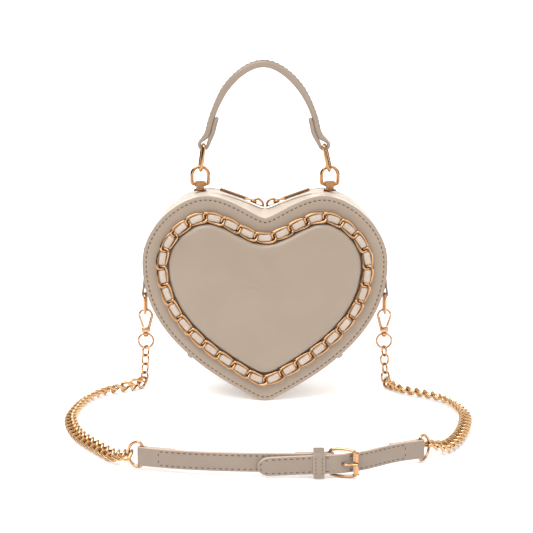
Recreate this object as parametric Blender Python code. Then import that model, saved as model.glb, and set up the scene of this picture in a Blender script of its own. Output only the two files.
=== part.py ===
"""A heart-shaped box handbag with a top handle and a chain-and-leather shoulder strap.

The bag stands on the flat at the heart's tip. X runs to the wearer's right, Y from the
front panel to the back panel, and Z up. The origin is the middle of the tip flat.
The shoulder strap lies on the same surface, in a loop in front of the bag.
"""

import math

import bmesh
import bpy
from mathutils import Vector

MM = 0.001

# Fits between pieces
GAP = 0.3 * MM
CUT_OVERRUN = 2.0 * MM

# Heart outline
HALF_WIDTH = 100.0 * MM
BELLY_Z = 115.0 * MM
LOBE_X = 47.0 * MM
LOBE_Z = 170.0 * MM
NOTCH_Z = 151.7 * MM
ZIP_LOBE_Z = 169.3 * MM
ZIP_NOTCH_Z = 156.3 * MM
TIP_HALF = 4.0 * MM
TIP_LEAST_HALF = 0.6 * MM
NOTCH_ROUND = 6.0 * MM
NOTCH_EASE = 18.0 * MM
FLANK_UPPER = 58.0 * MM
FLANK_LOWER = 52.0 * MM
FLANK_SLOPE = math.radians(28.0)
LOBE_TOP_SHARE = 0.43
LOBE_SIDE_SHARE = 0.54
TIP_SOFTEN = 9.0 * MM

# Box body
DEPTH = 65.0 * MM
PANEL_T = 3.0 * MM
PANEL_ROUND = 1.0 * MM
GUSSET_T = 2.0 * MM
ZIP_SLOT_HALF = 1.8 * MM
ZIP_END_Z = 39.0 * MM
TAPE_WIDTH = 7.5 * MM
TAPE_T = 0.8 * MM
TEETH_HALF = 1.5 * MM
TEETH_SINK = 0.8 * MM
TEETH_H = 2.3 * MM
LINING_T = 0.8 * MM
LINING_CLEAR = 0.8 * MM
RUN_STEPS = 22
RUN_CROWDING = 1.2
FLANK_STEPS = 5

# Padded heart and laced trim chain on the front panel
TRIM_INSET = 16.0 * MM
TRIM_LINKS = 33
TRIM_WIRE_R = 1.0 * MM
TRIM_HALF_WIDTH = 5.7 * MM
TRIM_TWIST = 1.2 * MM
TRIM_GRIP = 0.3 * MM
LACE_HALF = 2.8 * MM
LACE_PINCHED_HALF = 1.8 * MM
LACE_T = 0.6 * MM
LACE_RISE = 3.6 * MM
LACE_STEPS = 24
LACE_PUFF_STEPS = (-8, -4, 4, 8)
LACE_CLEAR = 0.2 * MM
LACE_HOLLOW_SHARE = 0.45
LACE_CROWN_SHARE = 0.75
PAD_EDGE = 1.6 * MM
PAD_CROWN = 8.0 * MM
PAD_RING_SHARES = ((0.0, 0.0), (0.03, 0.35), (0.10, 0.62), (0.26, 0.86), (0.52, 0.97))

# Zip sliders and pulls
SLIDER_LENGTH = 12.0 * MM
SLIDER_HALF = 4.2 * MM
SLIDER_H = 1.5 * MM
SLIDER_FROM_CENTRE = 7.4 * MM
SLIDER_RELIEF = 0.8 * MM
SLIDER_TRAVEL = 12.0 * MM
SLIDER_SECTIONS = ((-1.0, 0.62, 0.7), (-0.7, 0.95, 1.0), (0.0, 1.0, 1.0), (0.6, 0.8, 1.0), (1.0, 0.5, 0.7))
BRIDGE_WIRE_R = 0.7 * MM
BRIDGE_RISE = 4.6 * MM
BRIDGE_HALF_SPAN = 3.6 * MM
PULL_SEAT = math.radians(22.0)
PULL_LENGTH = 29.5 * MM
PULL_HALF_WIDTH = 1.7 * MM
PULL_T = 2.4 * MM
PULL_SLOPE = math.radians(19.4)
PULL_EYE_R = 2.0 * MM
PULL_EYE_WIRE_R = 0.8 * MM

# Zip-end tabs
END_TAB_HALF = 2.6 * MM
END_TAB_DEPTH_HALF = 7.0 * MM
END_TAB_REACH = 6.0 * MM

# Handle fittings on the back half
HANDLE_X = 54.3 * MM
HANDLE_Y = 14.0 * MM
POST_FLANGE_HALF = 5.4 * MM
POST_FLANGE_T = 1.0 * MM
POST_HALF_X = 4.8 * MM
POST_HALF_Y = 3.4 * MM
POST_PIN_Z = 5.6 * MM
POST_H = 7.8 * MM
POST_CHAMFER = 0.8 * MM
PIN_R = 1.0 * MM
PIN_LENGTH = 2.4 * MM
RING_WIRE_R = 1.25 * MM
RING_HALF = 6.9 * MM
RING_RISE = 14.4 * MM
RING_CORNER = 1.8 * MM
LINK_WIRE_R = 1.4 * MM
LINK_HALF_LENGTH = 10.8 * MM
LINK_HALF_WIDTH = 4.1 * MM
LINK_CORNER = 2.4 * MM
LINK_LEAN_LEFT = math.radians(8.0)
LINK_LEAN_RIGHT = math.radians(12.5)
LINK_TURN = math.radians(11.0)

# Handle strap
HANDLE_KNOT_SHARES = (
    (-0.481, 0.130), (-0.452, 0.275), (-0.418, 0.411), (-0.375, 0.545), (-0.321, 0.674), (-0.230, 0.813),
    (-0.120, 0.915), (-0.018, 0.950), (0.088, 0.918), (0.200, 0.813), (0.291, 0.674), (0.348, 0.545),
    (0.392, 0.411), (0.425, 0.275), (0.451, 0.130),
)
HANDLE_SPAN = 100.0 * MM
HANDLE_RISE = 70.5 * MM
HANDLE_T = 5.0 * MM
HANDLE_BACK_T = 3.6 * MM
HANDLE_END_T = 2.2 * MM
HANDLE_HALF = 5.5 * MM
HANDLE_LOOP_HALF = 2.0 * MM
HANDLE_LOOP_CLEAR = 0.4 * MM
HANDLE_TAPER = 26.0 * MM
HANDLE_THIN_LENGTH = 7.0 * MM
HANDLE_FOLD_BACK = 25.0 * MM
HANDLE_BULGE = 1.0 * MM
HANDLE_EASE = 8.0 * MM
HANDLE_PIECES = 24
HANDLE_BACK_POINTS = 6

# Side tabs and rings that carry the shoulder strap
SIDE_Y = 12.0 * MM
SIDE_RING_TOP_Z = 82.2 * MM
SIDE_TAB_TOP_Z = 121.0 * MM
SIDE_TAB_T = 1.4 * MM
SIDE_TAB_HALF = 4.3 * MM
SIDE_TAB_BULGE = 0.9 * MM
SIDE_RING_WIRE_R = 1.2 * MM
SIDE_RING_H = 16.2 * MM
SIDE_RING_HALF = 7.2 * MM
SIDE_RING_CORNER = 2.8 * MM

# Clasps and swivel rings
HOOK_WIRE_R = 0.95 * MM
HOOK_TOP_R = 5.3 * MM
HOOK_NECK_HALF = 2.5 * MM
HOOK_H = 15.0 * MM
GATE_SHARE = 0.5
GATE_CLEAR = 1.7 * MM
NECK_HALF = 3.7 * MM
NECK_DEPTH_HALF = 2.4 * MM
NECK_H = 4.8 * MM
SWIVEL_POST_R = 0.9 * MM
RIVET_R = 2.0 * MM
RIVET_H = 1.3 * MM
SWIVEL_WIRE_R = 0.8 * MM
SWIVEL_R = 6.3 * MM
BOSS_R = 2.3 * MM
BOSS_H = 2.1 * MM

# Shoulder chain
LINK4_COUNT = 4
SMALL_WIRE_R = 0.8 * MM
SMALL_HALF_WIDTH = 3.6 * MM
SMALL_GRIP = 0.25 * MM
DROP_LEAN_X = 1.7 * MM
DROP_LEAN_Y = 0.8 * MM
CURB_WIRE_R = 1.1 * MM
CURB_HALF_WIDTH = 4.15 * MM
CURB_TWIST = 1.35 * MM
CURB_PITCH = 8.75 * MM
CURB_GRIP = 0.3 * MM
CURB_ROLL_LENGTH = 35.0 * MM
CURB_ROLL = math.radians(60.0)
CURB_END_ROLL = math.radians(75.0)
CURB_RISE_LENGTH = 30.0 * MM
CURB_TWIST_STEP = 0.5
CURB_LEAD = 5.0 * MM
FLOOR_CLEAR = 0.2 * MM

# Plan of the shoulder strap on the floor
LOOP_REACH = 243.0 * MM
LOOP_SIDE = 155.0 * MM
LEFT_CHAIN_SHARES = (
    (-0.729, -0.006), (-0.845, -0.062), (-0.932, -0.173), (-0.970, -0.333),
    (-0.965, -0.465), (-0.897, -0.626), (-0.774, -0.770),
)
RIGHT_CHAIN_SHARES = (
    (0.726, -0.041), (0.839, -0.105), (0.948, -0.189), (1.003, -0.321),
    (1.003, -0.444), (0.939, -0.626), (0.855, -0.749),
)
STRAP_LEFT_SHARES = ((-0.555, -0.940), (-0.380, -0.972), (-0.190, -0.991))
STRAP_RIGHT_SHARES = ((0.437, -0.979), (0.565, -0.915), (0.640, -0.886), (0.712, -0.868))
TIP_SHARE = -0.034
KEEPER_SHARE = 0.2378
HEEL_SHARE = 0.286
LEFT_RING_TURN = math.radians(160.0)
RIGHT_RING_TURN = math.radians(47.0)

# Leather of the shoulder strap
STRAP_T = 2.4 * MM
STRAP_HALF = 6.8 * MM
STRAP_FOLD_T = 1.8 * MM
STRAP_FOLD_BACK = 24.0 * MM
STRAP_FOLD_EASE = 4.5 * MM
STRAP_LAYER_GAP = 0.35 * MM
STRAP_TIP = 9.0 * MM
STRAP_STEP = 9.0 * MM
STRAP_RING_WIRE_R = 1.0 * MM
STRAP_RING_HALF = 8.9 * MM
STRAP_RING_LIFT = 0.6 * MM
STRAP_RING_DEPTH = 10.5 * MM
KEEPER_LENGTH = 7.7 * MM
KEEPER_T = 1.3 * MM
KEEPER_TILT = 0.8 * MM
TAIL_SAG = 2.3 * MM

# Buckle
FRAME_WIRE_R = 1.1 * MM
FRAME_HALF = 9.0 * MM
FRAME_BOW = 0.6 * MM
FRAME_LENGTH = 18.6 * MM
FRAME_CORNER = 2.5 * MM
FRAME_SWING = math.radians(17.0)
BAR_HALF_LENGTH = 2.3 * MM
BAR_T = 2.6 * MM
PRONG_R = 0.95 * MM
PRONG_CROSS = 8.8 * MM
PRONG_RUN = 3.4 * MM
PRONG_SLOT_HALF = 1.5 * MM
PRONG_TIP_SHARE = 0.9
HOLE_HALF = 1.4 * MM

# Share of a strap's thickness that its painted edge rounds off
EDGE_SHARE = 0.45


def clear_scene():
    """Removes whatever the open file holds."""
    for old in list(bpy.data.objects):
        bpy.data.objects.remove(old, do_unlink=True)


def new_material(name, colour, roughness, metallic):
    """A Principled material with one colour."""
    material = bpy.data.materials.new(name)
    material.use_nodes = True
    shader = material.node_tree.nodes["Principled BSDF"]
    shader.inputs["Base Color"].default_value = (*colour, 1.0)
    shader.inputs["Roughness"].default_value = roughness
    shader.inputs["Metallic"].default_value = metallic
    material.diffuse_color = (*colour, 1.0)
    return material


def palette():
    """The finishes that the bag shows."""
    return {
        "leather": new_material("taupe_leather", (0.49, 0.40, 0.31), 0.45, 0.0),
        "cream": new_material("cream_gusset", (0.86, 0.78, 0.68), 0.45, 0.0),
        "lace": new_material("lace_leather", (0.62, 0.50, 0.42), 0.5, 0.0),
        "gold": new_material("rose_gold", (0.83, 0.52, 0.28), 0.2, 1.0),
        "tape": new_material("zip_tape", (0.70, 0.58, 0.46), 0.8, 0.0),
        "teeth": new_material("zip_teeth", (0.72, 0.50, 0.32), 0.35, 0.6),
        "lining": new_material("lining_cloth", (0.50, 0.42, 0.34), 0.9, 0.0),
    }


def new_node(name, bm, material, seam_angle=math.radians(38.0)):
    """Turns a closed bmesh into one object of the part, with its faces pointing out."""
    bmesh.ops.recalc_face_normals(bm, faces=bm.faces)
    if bm.calc_volume(signed=True) < 0:
        bmesh.ops.reverse_faces(bm, faces=bm.faces)
    mesh = bpy.data.meshes.new(name)
    bm.to_mesh(mesh)
    bm.free()
    mesh.materials.append(material)
    mesh.shade_smooth()
    mesh.set_sharp_from_angle(angle=seam_angle)
    made = bpy.data.objects.new(name, mesh)
    bpy.context.scene.collection.objects.link(made)
    return made


def boolean(target, tool, operation):
    """Joins or cuts target with tool, which stays in the scene as a hidden guide."""
    tool.hide_render = True
    tool.display_type = "WIRE"
    step = target.modifiers.new(operation.lower(), "BOOLEAN")
    step.operation = operation
    step.solver = "EXACT"
    step.object = tool
    return target


def loft(bm, rings, joined=False, capped=True):
    """Skins a row of rings with the same number of points; joined closes the row on itself."""
    rows = [[bm.verts.new(point) for point in ring] for ring in rings]
    pairs = list(zip(rows, rows[1:]))
    if joined:
        pairs.append((rows[-1], rows[0]))
    for low, high in pairs:
        for k in range(len(low)):
            after = (k + 1) % len(low)
            bm.faces.new((low[k], low[after], high[after], high[k]))
    if capped and not joined:
        bm.faces.new(list(reversed(rows[0])))
        bm.faces.new(rows[-1])


def wire(bm, points, flat_normal, radius, sides=6, closed=True):
    """A round wire along points that lie near a plane with the given normal."""
    rings = []
    count = len(points)
    for i, point in enumerate(points):
        before = points[(i - 1) % count] if closed or i else points[0]
        after = points[(i + 1) % count] if closed or i < count - 1 else points[-1]
        along = (after - before).normalized()
        outward = along.cross(flat_normal).normalized()
        upward = outward.cross(along)
        ring = []
        for k in range(sides):
            angle = math.tau * k / sides
            ring.append(point + (outward * math.cos(angle) + upward * math.sin(angle)) * radius)
        rings.append(ring)
    loft(bm, rings, joined=closed)


def block(bm, centre, half, turn_axes=None):
    """A box with the given half sizes, turned to a set of three axes."""
    axes = turn_axes or (Vector((1, 0, 0)), Vector((0, 1, 0)), Vector((0, 0, 1)))
    rings = []
    for side in (-1, 1):
        rings.append([
            centre + axes[0] * (half[0] * a) + axes[1] * (half[1] * b) + axes[2] * (half[2] * side)
            for a, b in ((-1, -1), (1, -1), (1, 1), (-1, 1))
        ])
    loft(bm, rings)


def turned(bm, base, axis, side, profile, sides=10):
    """A turned piece: profile lists (distance along axis, radius) from base."""
    other = axis.cross(side)
    rings = []
    for distance, radius in profile:
        rings.append([
            base + axis * distance
            + (side * math.cos(math.tau * k / sides) + other * math.sin(math.tau * k / sides)) * radius
            for k in range(sides)
        ])
    loft(bm, rings)


def chamfered(half_a, half_b, chamfer):
    """The eight corners of a rectangle with cut corners, in two coordinates."""
    near_a, near_b = half_a - chamfer, half_b - chamfer
    return [(half_a, -near_b), (half_a, near_b), (near_a, half_b), (-near_a, half_b),
            (-half_a, near_b), (-half_a, -near_b), (-near_a, -half_b), (near_a, -half_b)]


def smooth_step(share):
    """Eases from 0 to 1."""
    share = min(1.0, max(0.0, share))
    return share * share * (3 - 2 * share)


def arc(centre, radius, start, end, steps):
    """Points on an arc in two coordinates, angles in radians."""
    return [
        (centre[0] + radius * math.cos(start + (end - start) * k / steps),
         centre[1] + radius * math.sin(start + (end - start) * k / steps))
        for k in range(steps + 1)
    ]


def bezier(a, b, c, d, steps):
    """Points on a cubic curve in two coordinates, without its last point."""
    points = []
    for k in range(steps):
        t = k / steps
        s = 1 - t
        points.append(tuple(
            s ** 3 * a[i] + 3 * s * s * t * b[i] + 3 * s * t * t * c[i] + t ** 3 * d[i] for i in (0, 1)
        ))
    return points


def half_outline(notch_z, lobe_z, steps=60):
    """The right half of the heart, from the notch over the lobe and down the flank to the tip flat."""
    notch, lobe, belly, tip = (0.0, notch_z), (LOBE_X, lobe_z), (HALF_WIDTH, BELLY_Z), (TIP_HALF, 0.0)
    flank = (TIP_HALF + FLANK_LOWER * math.cos(FLANK_SLOPE), FLANK_LOWER * math.sin(FLANK_SLOPE))
    points = bezier(notch, (NOTCH_ROUND, notch_z), (LOBE_X - NOTCH_EASE, lobe_z), lobe, steps)
    over = (LOBE_X + (HALF_WIDTH - LOBE_X) * LOBE_TOP_SHARE, lobe_z)
    down = (HALF_WIDTH, BELLY_Z + (lobe_z - BELLY_Z) * LOBE_SIDE_SHARE)
    points += bezier(lobe, over, down, belly, steps)
    points += bezier(belly, (HALF_WIDTH, BELLY_Z - FLANK_UPPER), flank, tip, steps)
    points.append(tip)
    return points


def inset_half(points, inset):
    """Moves a half outline inward and trims it at the tip flat and the middle line."""
    slope = (math.cos(FLANK_SLOPE), math.sin(FLANK_SLOPE))
    reach = points + [(points[-1][0] - slope[0] * k * (inset + TIP_HALF), points[-1][1] - slope[1] * k * (inset + TIP_HALF))
                      for k in (1, 2)]
    moved = []
    for i, point in enumerate(reach):
        before, after = reach[max(i - 1, 0)], reach[min(i + 1, len(reach) - 1)]
        along = Vector((after[0] - before[0], after[1] - before[1])).normalized()
        if i == 0:
            along = Vector((1.0, 0.0))
        moved.append((point[0] + along.y * inset, point[1] - along.x * inset))
    kept = [moved[0]]
    for before, after in zip(moved, moved[1:]):
        shares = []
        if after[1] < inset:
            shares.append((before[1] - inset) / (before[1] - after[1]))
        if after[0] < TIP_LEAST_HALF and before[0] >= TIP_LEAST_HALF:
            shares.append((before[0] - TIP_LEAST_HALF) / (before[0] - after[0]))
        if shares:
            share = min(shares)
            kept.append((before[0] + (after[0] - before[0]) * share, before[1] + (after[1] - before[1]) * share))
            break
        kept.append(after)
    return kept


def resample(points, count, crowding=1.0):
    """Points spread along a line, its two ends kept; crowding above 1 moves them to its start."""
    spots = [Vector(p) for p in points]
    lengths = [0.0]
    for a, b in zip(spots, spots[1:]):
        lengths.append(lengths[-1] + (b - a).length)
    result, at = [], 0
    for k in range(count):
        wanted = lengths[-1] * (k / (count - 1)) ** crowding
        while at < len(spots) - 2 and lengths[at + 1] < wanted:
            at += 1
        span = lengths[at + 1] - lengths[at]
        share = (wanted - lengths[at]) / span if span else 0.0
        result.append(spots[at].lerp(spots[at + 1], min(1.0, share)))
    return result


def split_at_zip_end(points, height):
    """Splits a half outline where its flank passes a height."""
    for i in range(len(points) - 1, 0, -1):
        low, high = points[i], points[i - 1]
        if low[1] <= height <= high[1]:
            share = (high[1] - height) / (high[1] - low[1])
            spot = (high[0] + (low[0] - high[0]) * share, height)
            return points[:i] + [spot], [spot] + points[i:]
    raise ValueError("the zip ends above the outline")


def heart_at(y):
    """Heights of the notch and the lobes at a depth: the heart softens towards the zip."""
    full = DEPTH / 2 - PANEL_T - GAP
    share = min(1.0, max(0.0, (full - abs(y)) / (full - ZIP_SLOT_HALF)))
    return NOTCH_Z + (ZIP_NOTCH_Z - NOTCH_Z) * share, LOBE_Z + (ZIP_LOBE_Z - LOBE_Z) * share


def mirrored(points):
    """A half outline and its mirror image as one line from left to right."""
    return [Vector((-p[0], p[1])) for p in reversed(points)] + [Vector(p) for p in points[1:]]


def zip_run(y, inset, end_z=ZIP_END_Z):
    """The outline over both lobes at a depth, from the left zip end to the right one."""
    upper, _ = split_at_zip_end(inset_half(half_outline(*heart_at(y)), inset), end_z)
    return mirrored(resample(upper, RUN_STEPS, RUN_CROWDING))


def whole_heart(y, inset):
    """The closed outline at a depth, from the left corner of the tip flat round to the right one."""
    upper, lower = split_at_zip_end(inset_half(half_outline(*heart_at(y)), inset), ZIP_END_Z)
    return mirrored(resample(upper, RUN_STEPS, RUN_CROWDING) + resample(lower, FLANK_STEPS)[1:])


def soft_heart(inset, count):
    """A closed heart inset from the front outline with its tip rounded, as evenly spaced points."""
    half = inset_half(half_outline(NOTCH_Z, LOBE_Z), inset)
    loop = mirrored(half)
    fine = resample(loop + [loop[0]], 720)[:-1]
    step = (fine[1] - fine[0]).length
    reach = max(1, round(TIP_SOFTEN / step))
    total = len(fine)
    soft = []
    for i in range(total):
        near = [fine[(i + k) % total] for k in range(-reach, reach + 1)]
        soft.append(sum(near, Vector((0.0, 0.0))) / len(near))
    notch = min(range(total), key=lambda i: abs(soft[i].x) - soft[i].y)
    soft = soft[notch:] + soft[:notch]
    return resample(soft + [soft[0]], count + 1)[:-1]


def depth_point(spot, y):
    """A point of the heart's outline plane at a depth."""
    return Vector((spot[0], y, spot[1]))


def band(bm, runs):
    """A wall along the outline: runs lists (line of points, y), once round its section."""
    rings = []
    for i in range(len(runs[0][0])):
        rings.append([depth_point(line[i], y) for line, y in runs])
    loft(bm, rings)


def build_panel(name, side, material):
    """A stiff heart panel with a turned edge; side is -1 in front and 1 behind."""
    outer, inner = side * DEPTH / 2, side * (DEPTH / 2 - PANEL_T)
    edge, narrow = whole_heart(outer, 0.0), whole_heart(outer, PANEL_ROUND)
    middle = outer - side * PANEL_ROUND
    low = min(p[1] for p in narrow)
    narrow = [Vector((p[0], 0.0)) if p[1] - low < GAP else p for p in narrow]
    bm = bmesh.new()
    loft(bm, [
        [depth_point(p, outer) for p in narrow],
        [depth_point(p, middle) for p in edge],
        [depth_point(p, inner) for p in edge],
    ])
    return new_node(name, bm, material)


def build_gusset(name, side, material):
    """The half of the side wall that runs over both lobes, from the panel to the zip."""
    outer, inner = side * (DEPTH / 2 - PANEL_T - GAP), side * ZIP_SLOT_HALF
    end = ZIP_END_Z + GAP
    bm = bmesh.new()
    band(bm, [
        (zip_run(outer, 0.0, end), outer),
        (zip_run(inner, 0.0, end), inner),
        (zip_run(inner, GUSSET_T, end), inner),
        (zip_run(outer, GUSSET_T, end), outer),
    ])
    return new_node(name, bm, material)


def build_bottom_gusset(material):
    """The uncut wall round the tip, which holds both halves together below the zip."""
    outer = DEPTH / 2 - PANEL_T - GAP
    lines = []
    for inset in (0.0, GUSSET_T):
        _, lower = split_at_zip_end(inset_half(half_outline(NOTCH_Z, LOBE_Z), inset), ZIP_END_Z)
        lower = resample(lower, FLANK_STEPS + 3)
        lines.append([Vector((-p[0], p[1])) for p in lower] + [Vector(p) for p in reversed(lower)])
    bm = bmesh.new()
    band(bm, [(lines[0], -outer), (lines[0], outer), (lines[1], outer), (lines[1], -outer)])
    return new_node("bottom_gusset", bm, material)


def build_zip_tape(name, side, material):
    """The woven tape under the gusset's edge."""
    near, far = side * ZIP_SLOT_HALF, side * (ZIP_SLOT_HALF + TAPE_WIDTH)
    top, bottom = GUSSET_T + GAP, GUSSET_T + GAP + TAPE_T
    end = ZIP_END_Z + GAP
    bm = bmesh.new()
    band(bm, [
        (zip_run(near, top, end), near),
        (zip_run(far, top, end), far),
        (zip_run(far, bottom, end), far),
        (zip_run(near, bottom, end), near),
    ])
    return new_node(name, bm, material)


def build_zip_teeth(name, side, material):
    """The coil of one zip half, in the slot between the gusset's edges."""
    near, far = side * GAP / 2, side * TEETH_HALF
    end = ZIP_END_Z + GAP
    bm = bmesh.new()
    band(bm, [
        (zip_run(near, TEETH_SINK, end), near),
        (zip_run(far, TEETH_SINK + GAP, end), far),
        (zip_run(far, TEETH_SINK + TEETH_H, end), far),
        (zip_run(near, TEETH_SINK + TEETH_H, end), near),
    ])
    return new_node(name, bm, material)


def build_lining(name, side, material):
    """A cloth-covered tray inside one half, glued to the panel and the gusset."""
    back = side * (DEPTH / 2 - PANEL_T - GAP)
    rim = side * (ZIP_SLOT_HALF + TAPE_WIDTH + GAP)
    floor = back - side * LINING_T
    outer = GUSSET_T + LINING_CLEAR
    inner = outer + LINING_T
    bm = bmesh.new()
    loft(bm, [
        [depth_point(p, back) for p in whole_heart(back, outer)],
        [depth_point(p, rim) for p in whole_heart(rim, outer)],
        [depth_point(p, rim) for p in whole_heart(rim, inner)],
        [depth_point(p, floor) for p in whole_heart(floor, inner)],
    ])
    return new_node(name, bm, material)


def build_padded_heart(material):
    """The padded heart inside the chain: a crowned cushion glued to the front panel."""
    edge = soft_heart(TRIM_INSET + TRIM_HALF_WIDTH + GAP, 2 * (RUN_STEPS + FLANK_STEPS))
    middle = Vector((0.0, sum(p.y for p in edge) / len(edge)))
    seat = -DEPTH / 2 - GAP
    rings = [[depth_point(p, seat) for p in edge]]
    for draw, rise in PAD_RING_SHARES:
        y = seat - PAD_EDGE - (PAD_CROWN - PAD_EDGE) * rise
        rings.append([depth_point(p.lerp(middle, draw), y) for p in edge])
    bm = bmesh.new()
    loft(bm, rings)
    top = bm.faces[:][-1]
    bmesh.ops.poke(bm, faces=[top], offset=0.0)
    return new_node("padded_heart", bm, material, math.radians(60.0))


def link_points(half_length, half_width, twist, steps=8):
    """The centre line of one curb link: a loop whose two ends lean opposite ways."""
    points = []
    for k in range(steps):
        turn = math.tau * k / steps
        points.append((half_length * math.cos(turn), half_width * math.sin(turn), twist * math.sin(2 * turn)))
    return points


def add_link(bm, centre, along, across, size, wire_r, sides=4):
    """One chain link; size is (half length, half width, twist) of its wire's centre line."""
    normal = along.cross(across)
    points = [centre + along * u + across * v + normal * w for u, v, w in link_points(*size)]
    wire(bm, points, normal, wire_r, sides)


def build_chain(name, places, size, wire_r, material):
    """Fuses a row of interlocked links; places lists (centre, along, across, share of the twist)."""
    groups = [places[0::2], places[1::2]]
    ring_closed = (places[0][0] - places[-1][0]).length < 3 * size[0]
    if len(places) % 2 and ring_closed:
        groups = [places[0:-1:2], places[1::2], places[-1:]]
    pieces = []
    for k, group in enumerate(groups):
        bm = bmesh.new()
        for centre, along, across, twist_share in group:
            add_link(bm, centre, along, across, (size[0], size[1], size[2] * twist_share), wire_r)
        label = name if k == 0 else name + "_guide_" + str(k)
        pieces.append(new_node(label, bm, material))
    for guide in pieces[1:]:
        boolean(pieces[0], guide, "UNION")
    return pieces[0]


def trim_pitch():
    """Distance between links of the trim chain along its path."""
    path = soft_heart(TRIM_INSET, 8 * TRIM_LINKS)
    return sum((b - a).length for a, b in zip(path, path[1:] + path[:1])) / TRIM_LINKS


def trim_plane():
    """Depth of the trim chain's middle plane in front of the panel."""
    return -DEPTH / 2 - LACE_CLEAR - LACE_T - GAP - TRIM_WIRE_R - TRIM_TWIST


def build_trim_chain(material):
    """The gold curb chain sewn round the padded heart."""
    path = soft_heart(TRIM_INSET, 2 * TRIM_LINKS)
    half_length = trim_pitch() / 2 + TRIM_WIRE_R - TRIM_GRIP / 2
    size = (half_length, TRIM_HALF_WIDTH - TRIM_WIRE_R, TRIM_TWIST)
    places = []
    for k in range(TRIM_LINKS):
        here, before, after = path[2 * k], path[2 * k - 1], path[(2 * k + 1) % len(path)]
        along = (after - before).normalized()
        along = Vector((along.x, 0.0, along.y))
        places.append((depth_point(here, trim_plane()), along, along.cross(Vector((0, 1, 0))), 1.0))
    return build_chain("trim_chain", places, size, TRIM_WIRE_R, material)


def build_trim_lace(material):
    """The leather lace: it lies under the chain and puffs up through each link's window."""
    path = soft_heart(TRIM_INSET, LACE_STEPS * TRIM_LINKS)
    seat = -DEPTH / 2 - LACE_CLEAR
    rings = []
    for link in range(TRIM_LINKS):
        for step in LACE_PUFF_STEPS:
            k = (link * LACE_STEPS + step) % len(path)
            along = (path[(k + 1) % len(path)] - path[k - 1]).normalized()
            out = Vector((along.y, 0.0, -along.x))
            puffed = abs(step) == min(LACE_PUFF_STEPS[2:])
            half, rise = (LACE_HALF, LACE_RISE) if puffed else (LACE_PINCHED_HALF, 0.0)
            low, high = seat - rise * LACE_HOLLOW_SHARE, seat - rise - LACE_T
            rings.append([
                depth_point(path[k], low) + out * half, depth_point(path[k], high) + out * half * LACE_CROWN_SHARE,
                depth_point(path[k], high) - out * half * LACE_CROWN_SHARE, depth_point(path[k], low) - out * half,
            ])
    bm = bmesh.new()
    loft(bm, rings, joined=True)
    return new_node("trim_lace", bm, material)


def zip_line(x):
    """Height and direction of the zip's contour at a distance from the middle."""
    line = half_outline(ZIP_NOTCH_Z, ZIP_LOBE_Z)
    for a, b in zip(line, line[1:]):
        if a[0] <= x <= b[0]:
            share = (x - a[0]) / (b[0] - a[0])
            along = Vector((b[0] - a[0], b[1] - a[1])).normalized()
            return a[1] + (b[1] - a[1]) * share, along
    raise ValueError("the slider sits beyond the lobe")


def slider_frame(hand):
    """Origin, outward direction and normal of a slider that rests beside the notch."""
    start, _ = zip_line(SLIDER_FROM_CENTRE)
    end, _ = zip_line(SLIDER_FROM_CENTRE + SLIDER_TRAVEL)
    along = Vector((SLIDER_TRAVEL, 0.0, end - start)).normalized()
    normal = Vector((-along.z, 0.0, along.x))
    origin = Vector((SLIDER_FROM_CENTRE, 0.0, start))
    crest = 0.0
    reach = SLIDER_LENGTH / 2 + SLIDER_TRAVEL
    for spot in resample(zip_run(ZIP_SLOT_HALF, 0.0), 10 * RUN_STEPS):
        offset = Vector((spot.x, 0.0, spot.y)) - origin
        if -SLIDER_LENGTH / 2 < offset.dot(along) < reach:
            crest = max(crest, offset.dot(normal))
    origin = origin + normal * (crest + GAP)
    flip = Vector((hand, 1, 1))
    return origin * flip, along * flip, normal * flip


def build_slider(name, hand, material):
    """A zip slider: a rounded body with a wire bridge that carries the pull."""
    origin, along, normal = slider_frame(hand)
    side = Vector((0, 1, 0))
    rings = []
    for s_share, half_share, h_share in SLIDER_SECTIONS:
        here = origin + along * (SLIDER_LENGTH / 2 * s_share)
        half, top = SLIDER_HALF * half_share, SLIDER_H * h_share
        rings.append([
            here - side * half + normal * SLIDER_RELIEF,
            here + normal * SLIDER_RELIEF,
            here + side * ZIP_SLOT_HALF * half_share,
            here + side * half,
            here + side * half + normal * (SLIDER_RELIEF + GAP) * h_share,
            here + side * (half - SLIDER_RELIEF) + normal * top,
            here - side * (half - SLIDER_RELIEF) + normal * top,
            here - side * half + normal * (SLIDER_RELIEF + GAP),
        ])
    bm = bmesh.new()
    loft(bm, rings)
    body = new_node(name, bm, material)
    bm = bmesh.new()
    base = origin + normal * (SLIDER_H - BRIDGE_WIRE_R)
    flat = [(BRIDGE_HALF_SPAN * math.cos(a), BRIDGE_RISE * math.sin(a))
            for a in (0.0, PULL_SEAT, math.radians(60), math.radians(120), math.pi - PULL_SEAT, math.pi)]
    wire(bm, [base + along * u + normal * v for u, v in flat], side, BRIDGE_WIRE_R, closed=False)
    guide = new_node(name + "_bridge_guide", bm, material)
    return boolean(body, guide, "UNION")


def pull_axis(hand):
    """The point on a slider's bridge that its pull turns about."""
    origin, along, normal = slider_frame(hand)
    out = BRIDGE_HALF_SPAN * math.cos(PULL_SEAT)
    up = SLIDER_H - BRIDGE_WIRE_R + BRIDGE_RISE * math.sin(PULL_SEAT)
    return origin + along * out + normal * up


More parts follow.
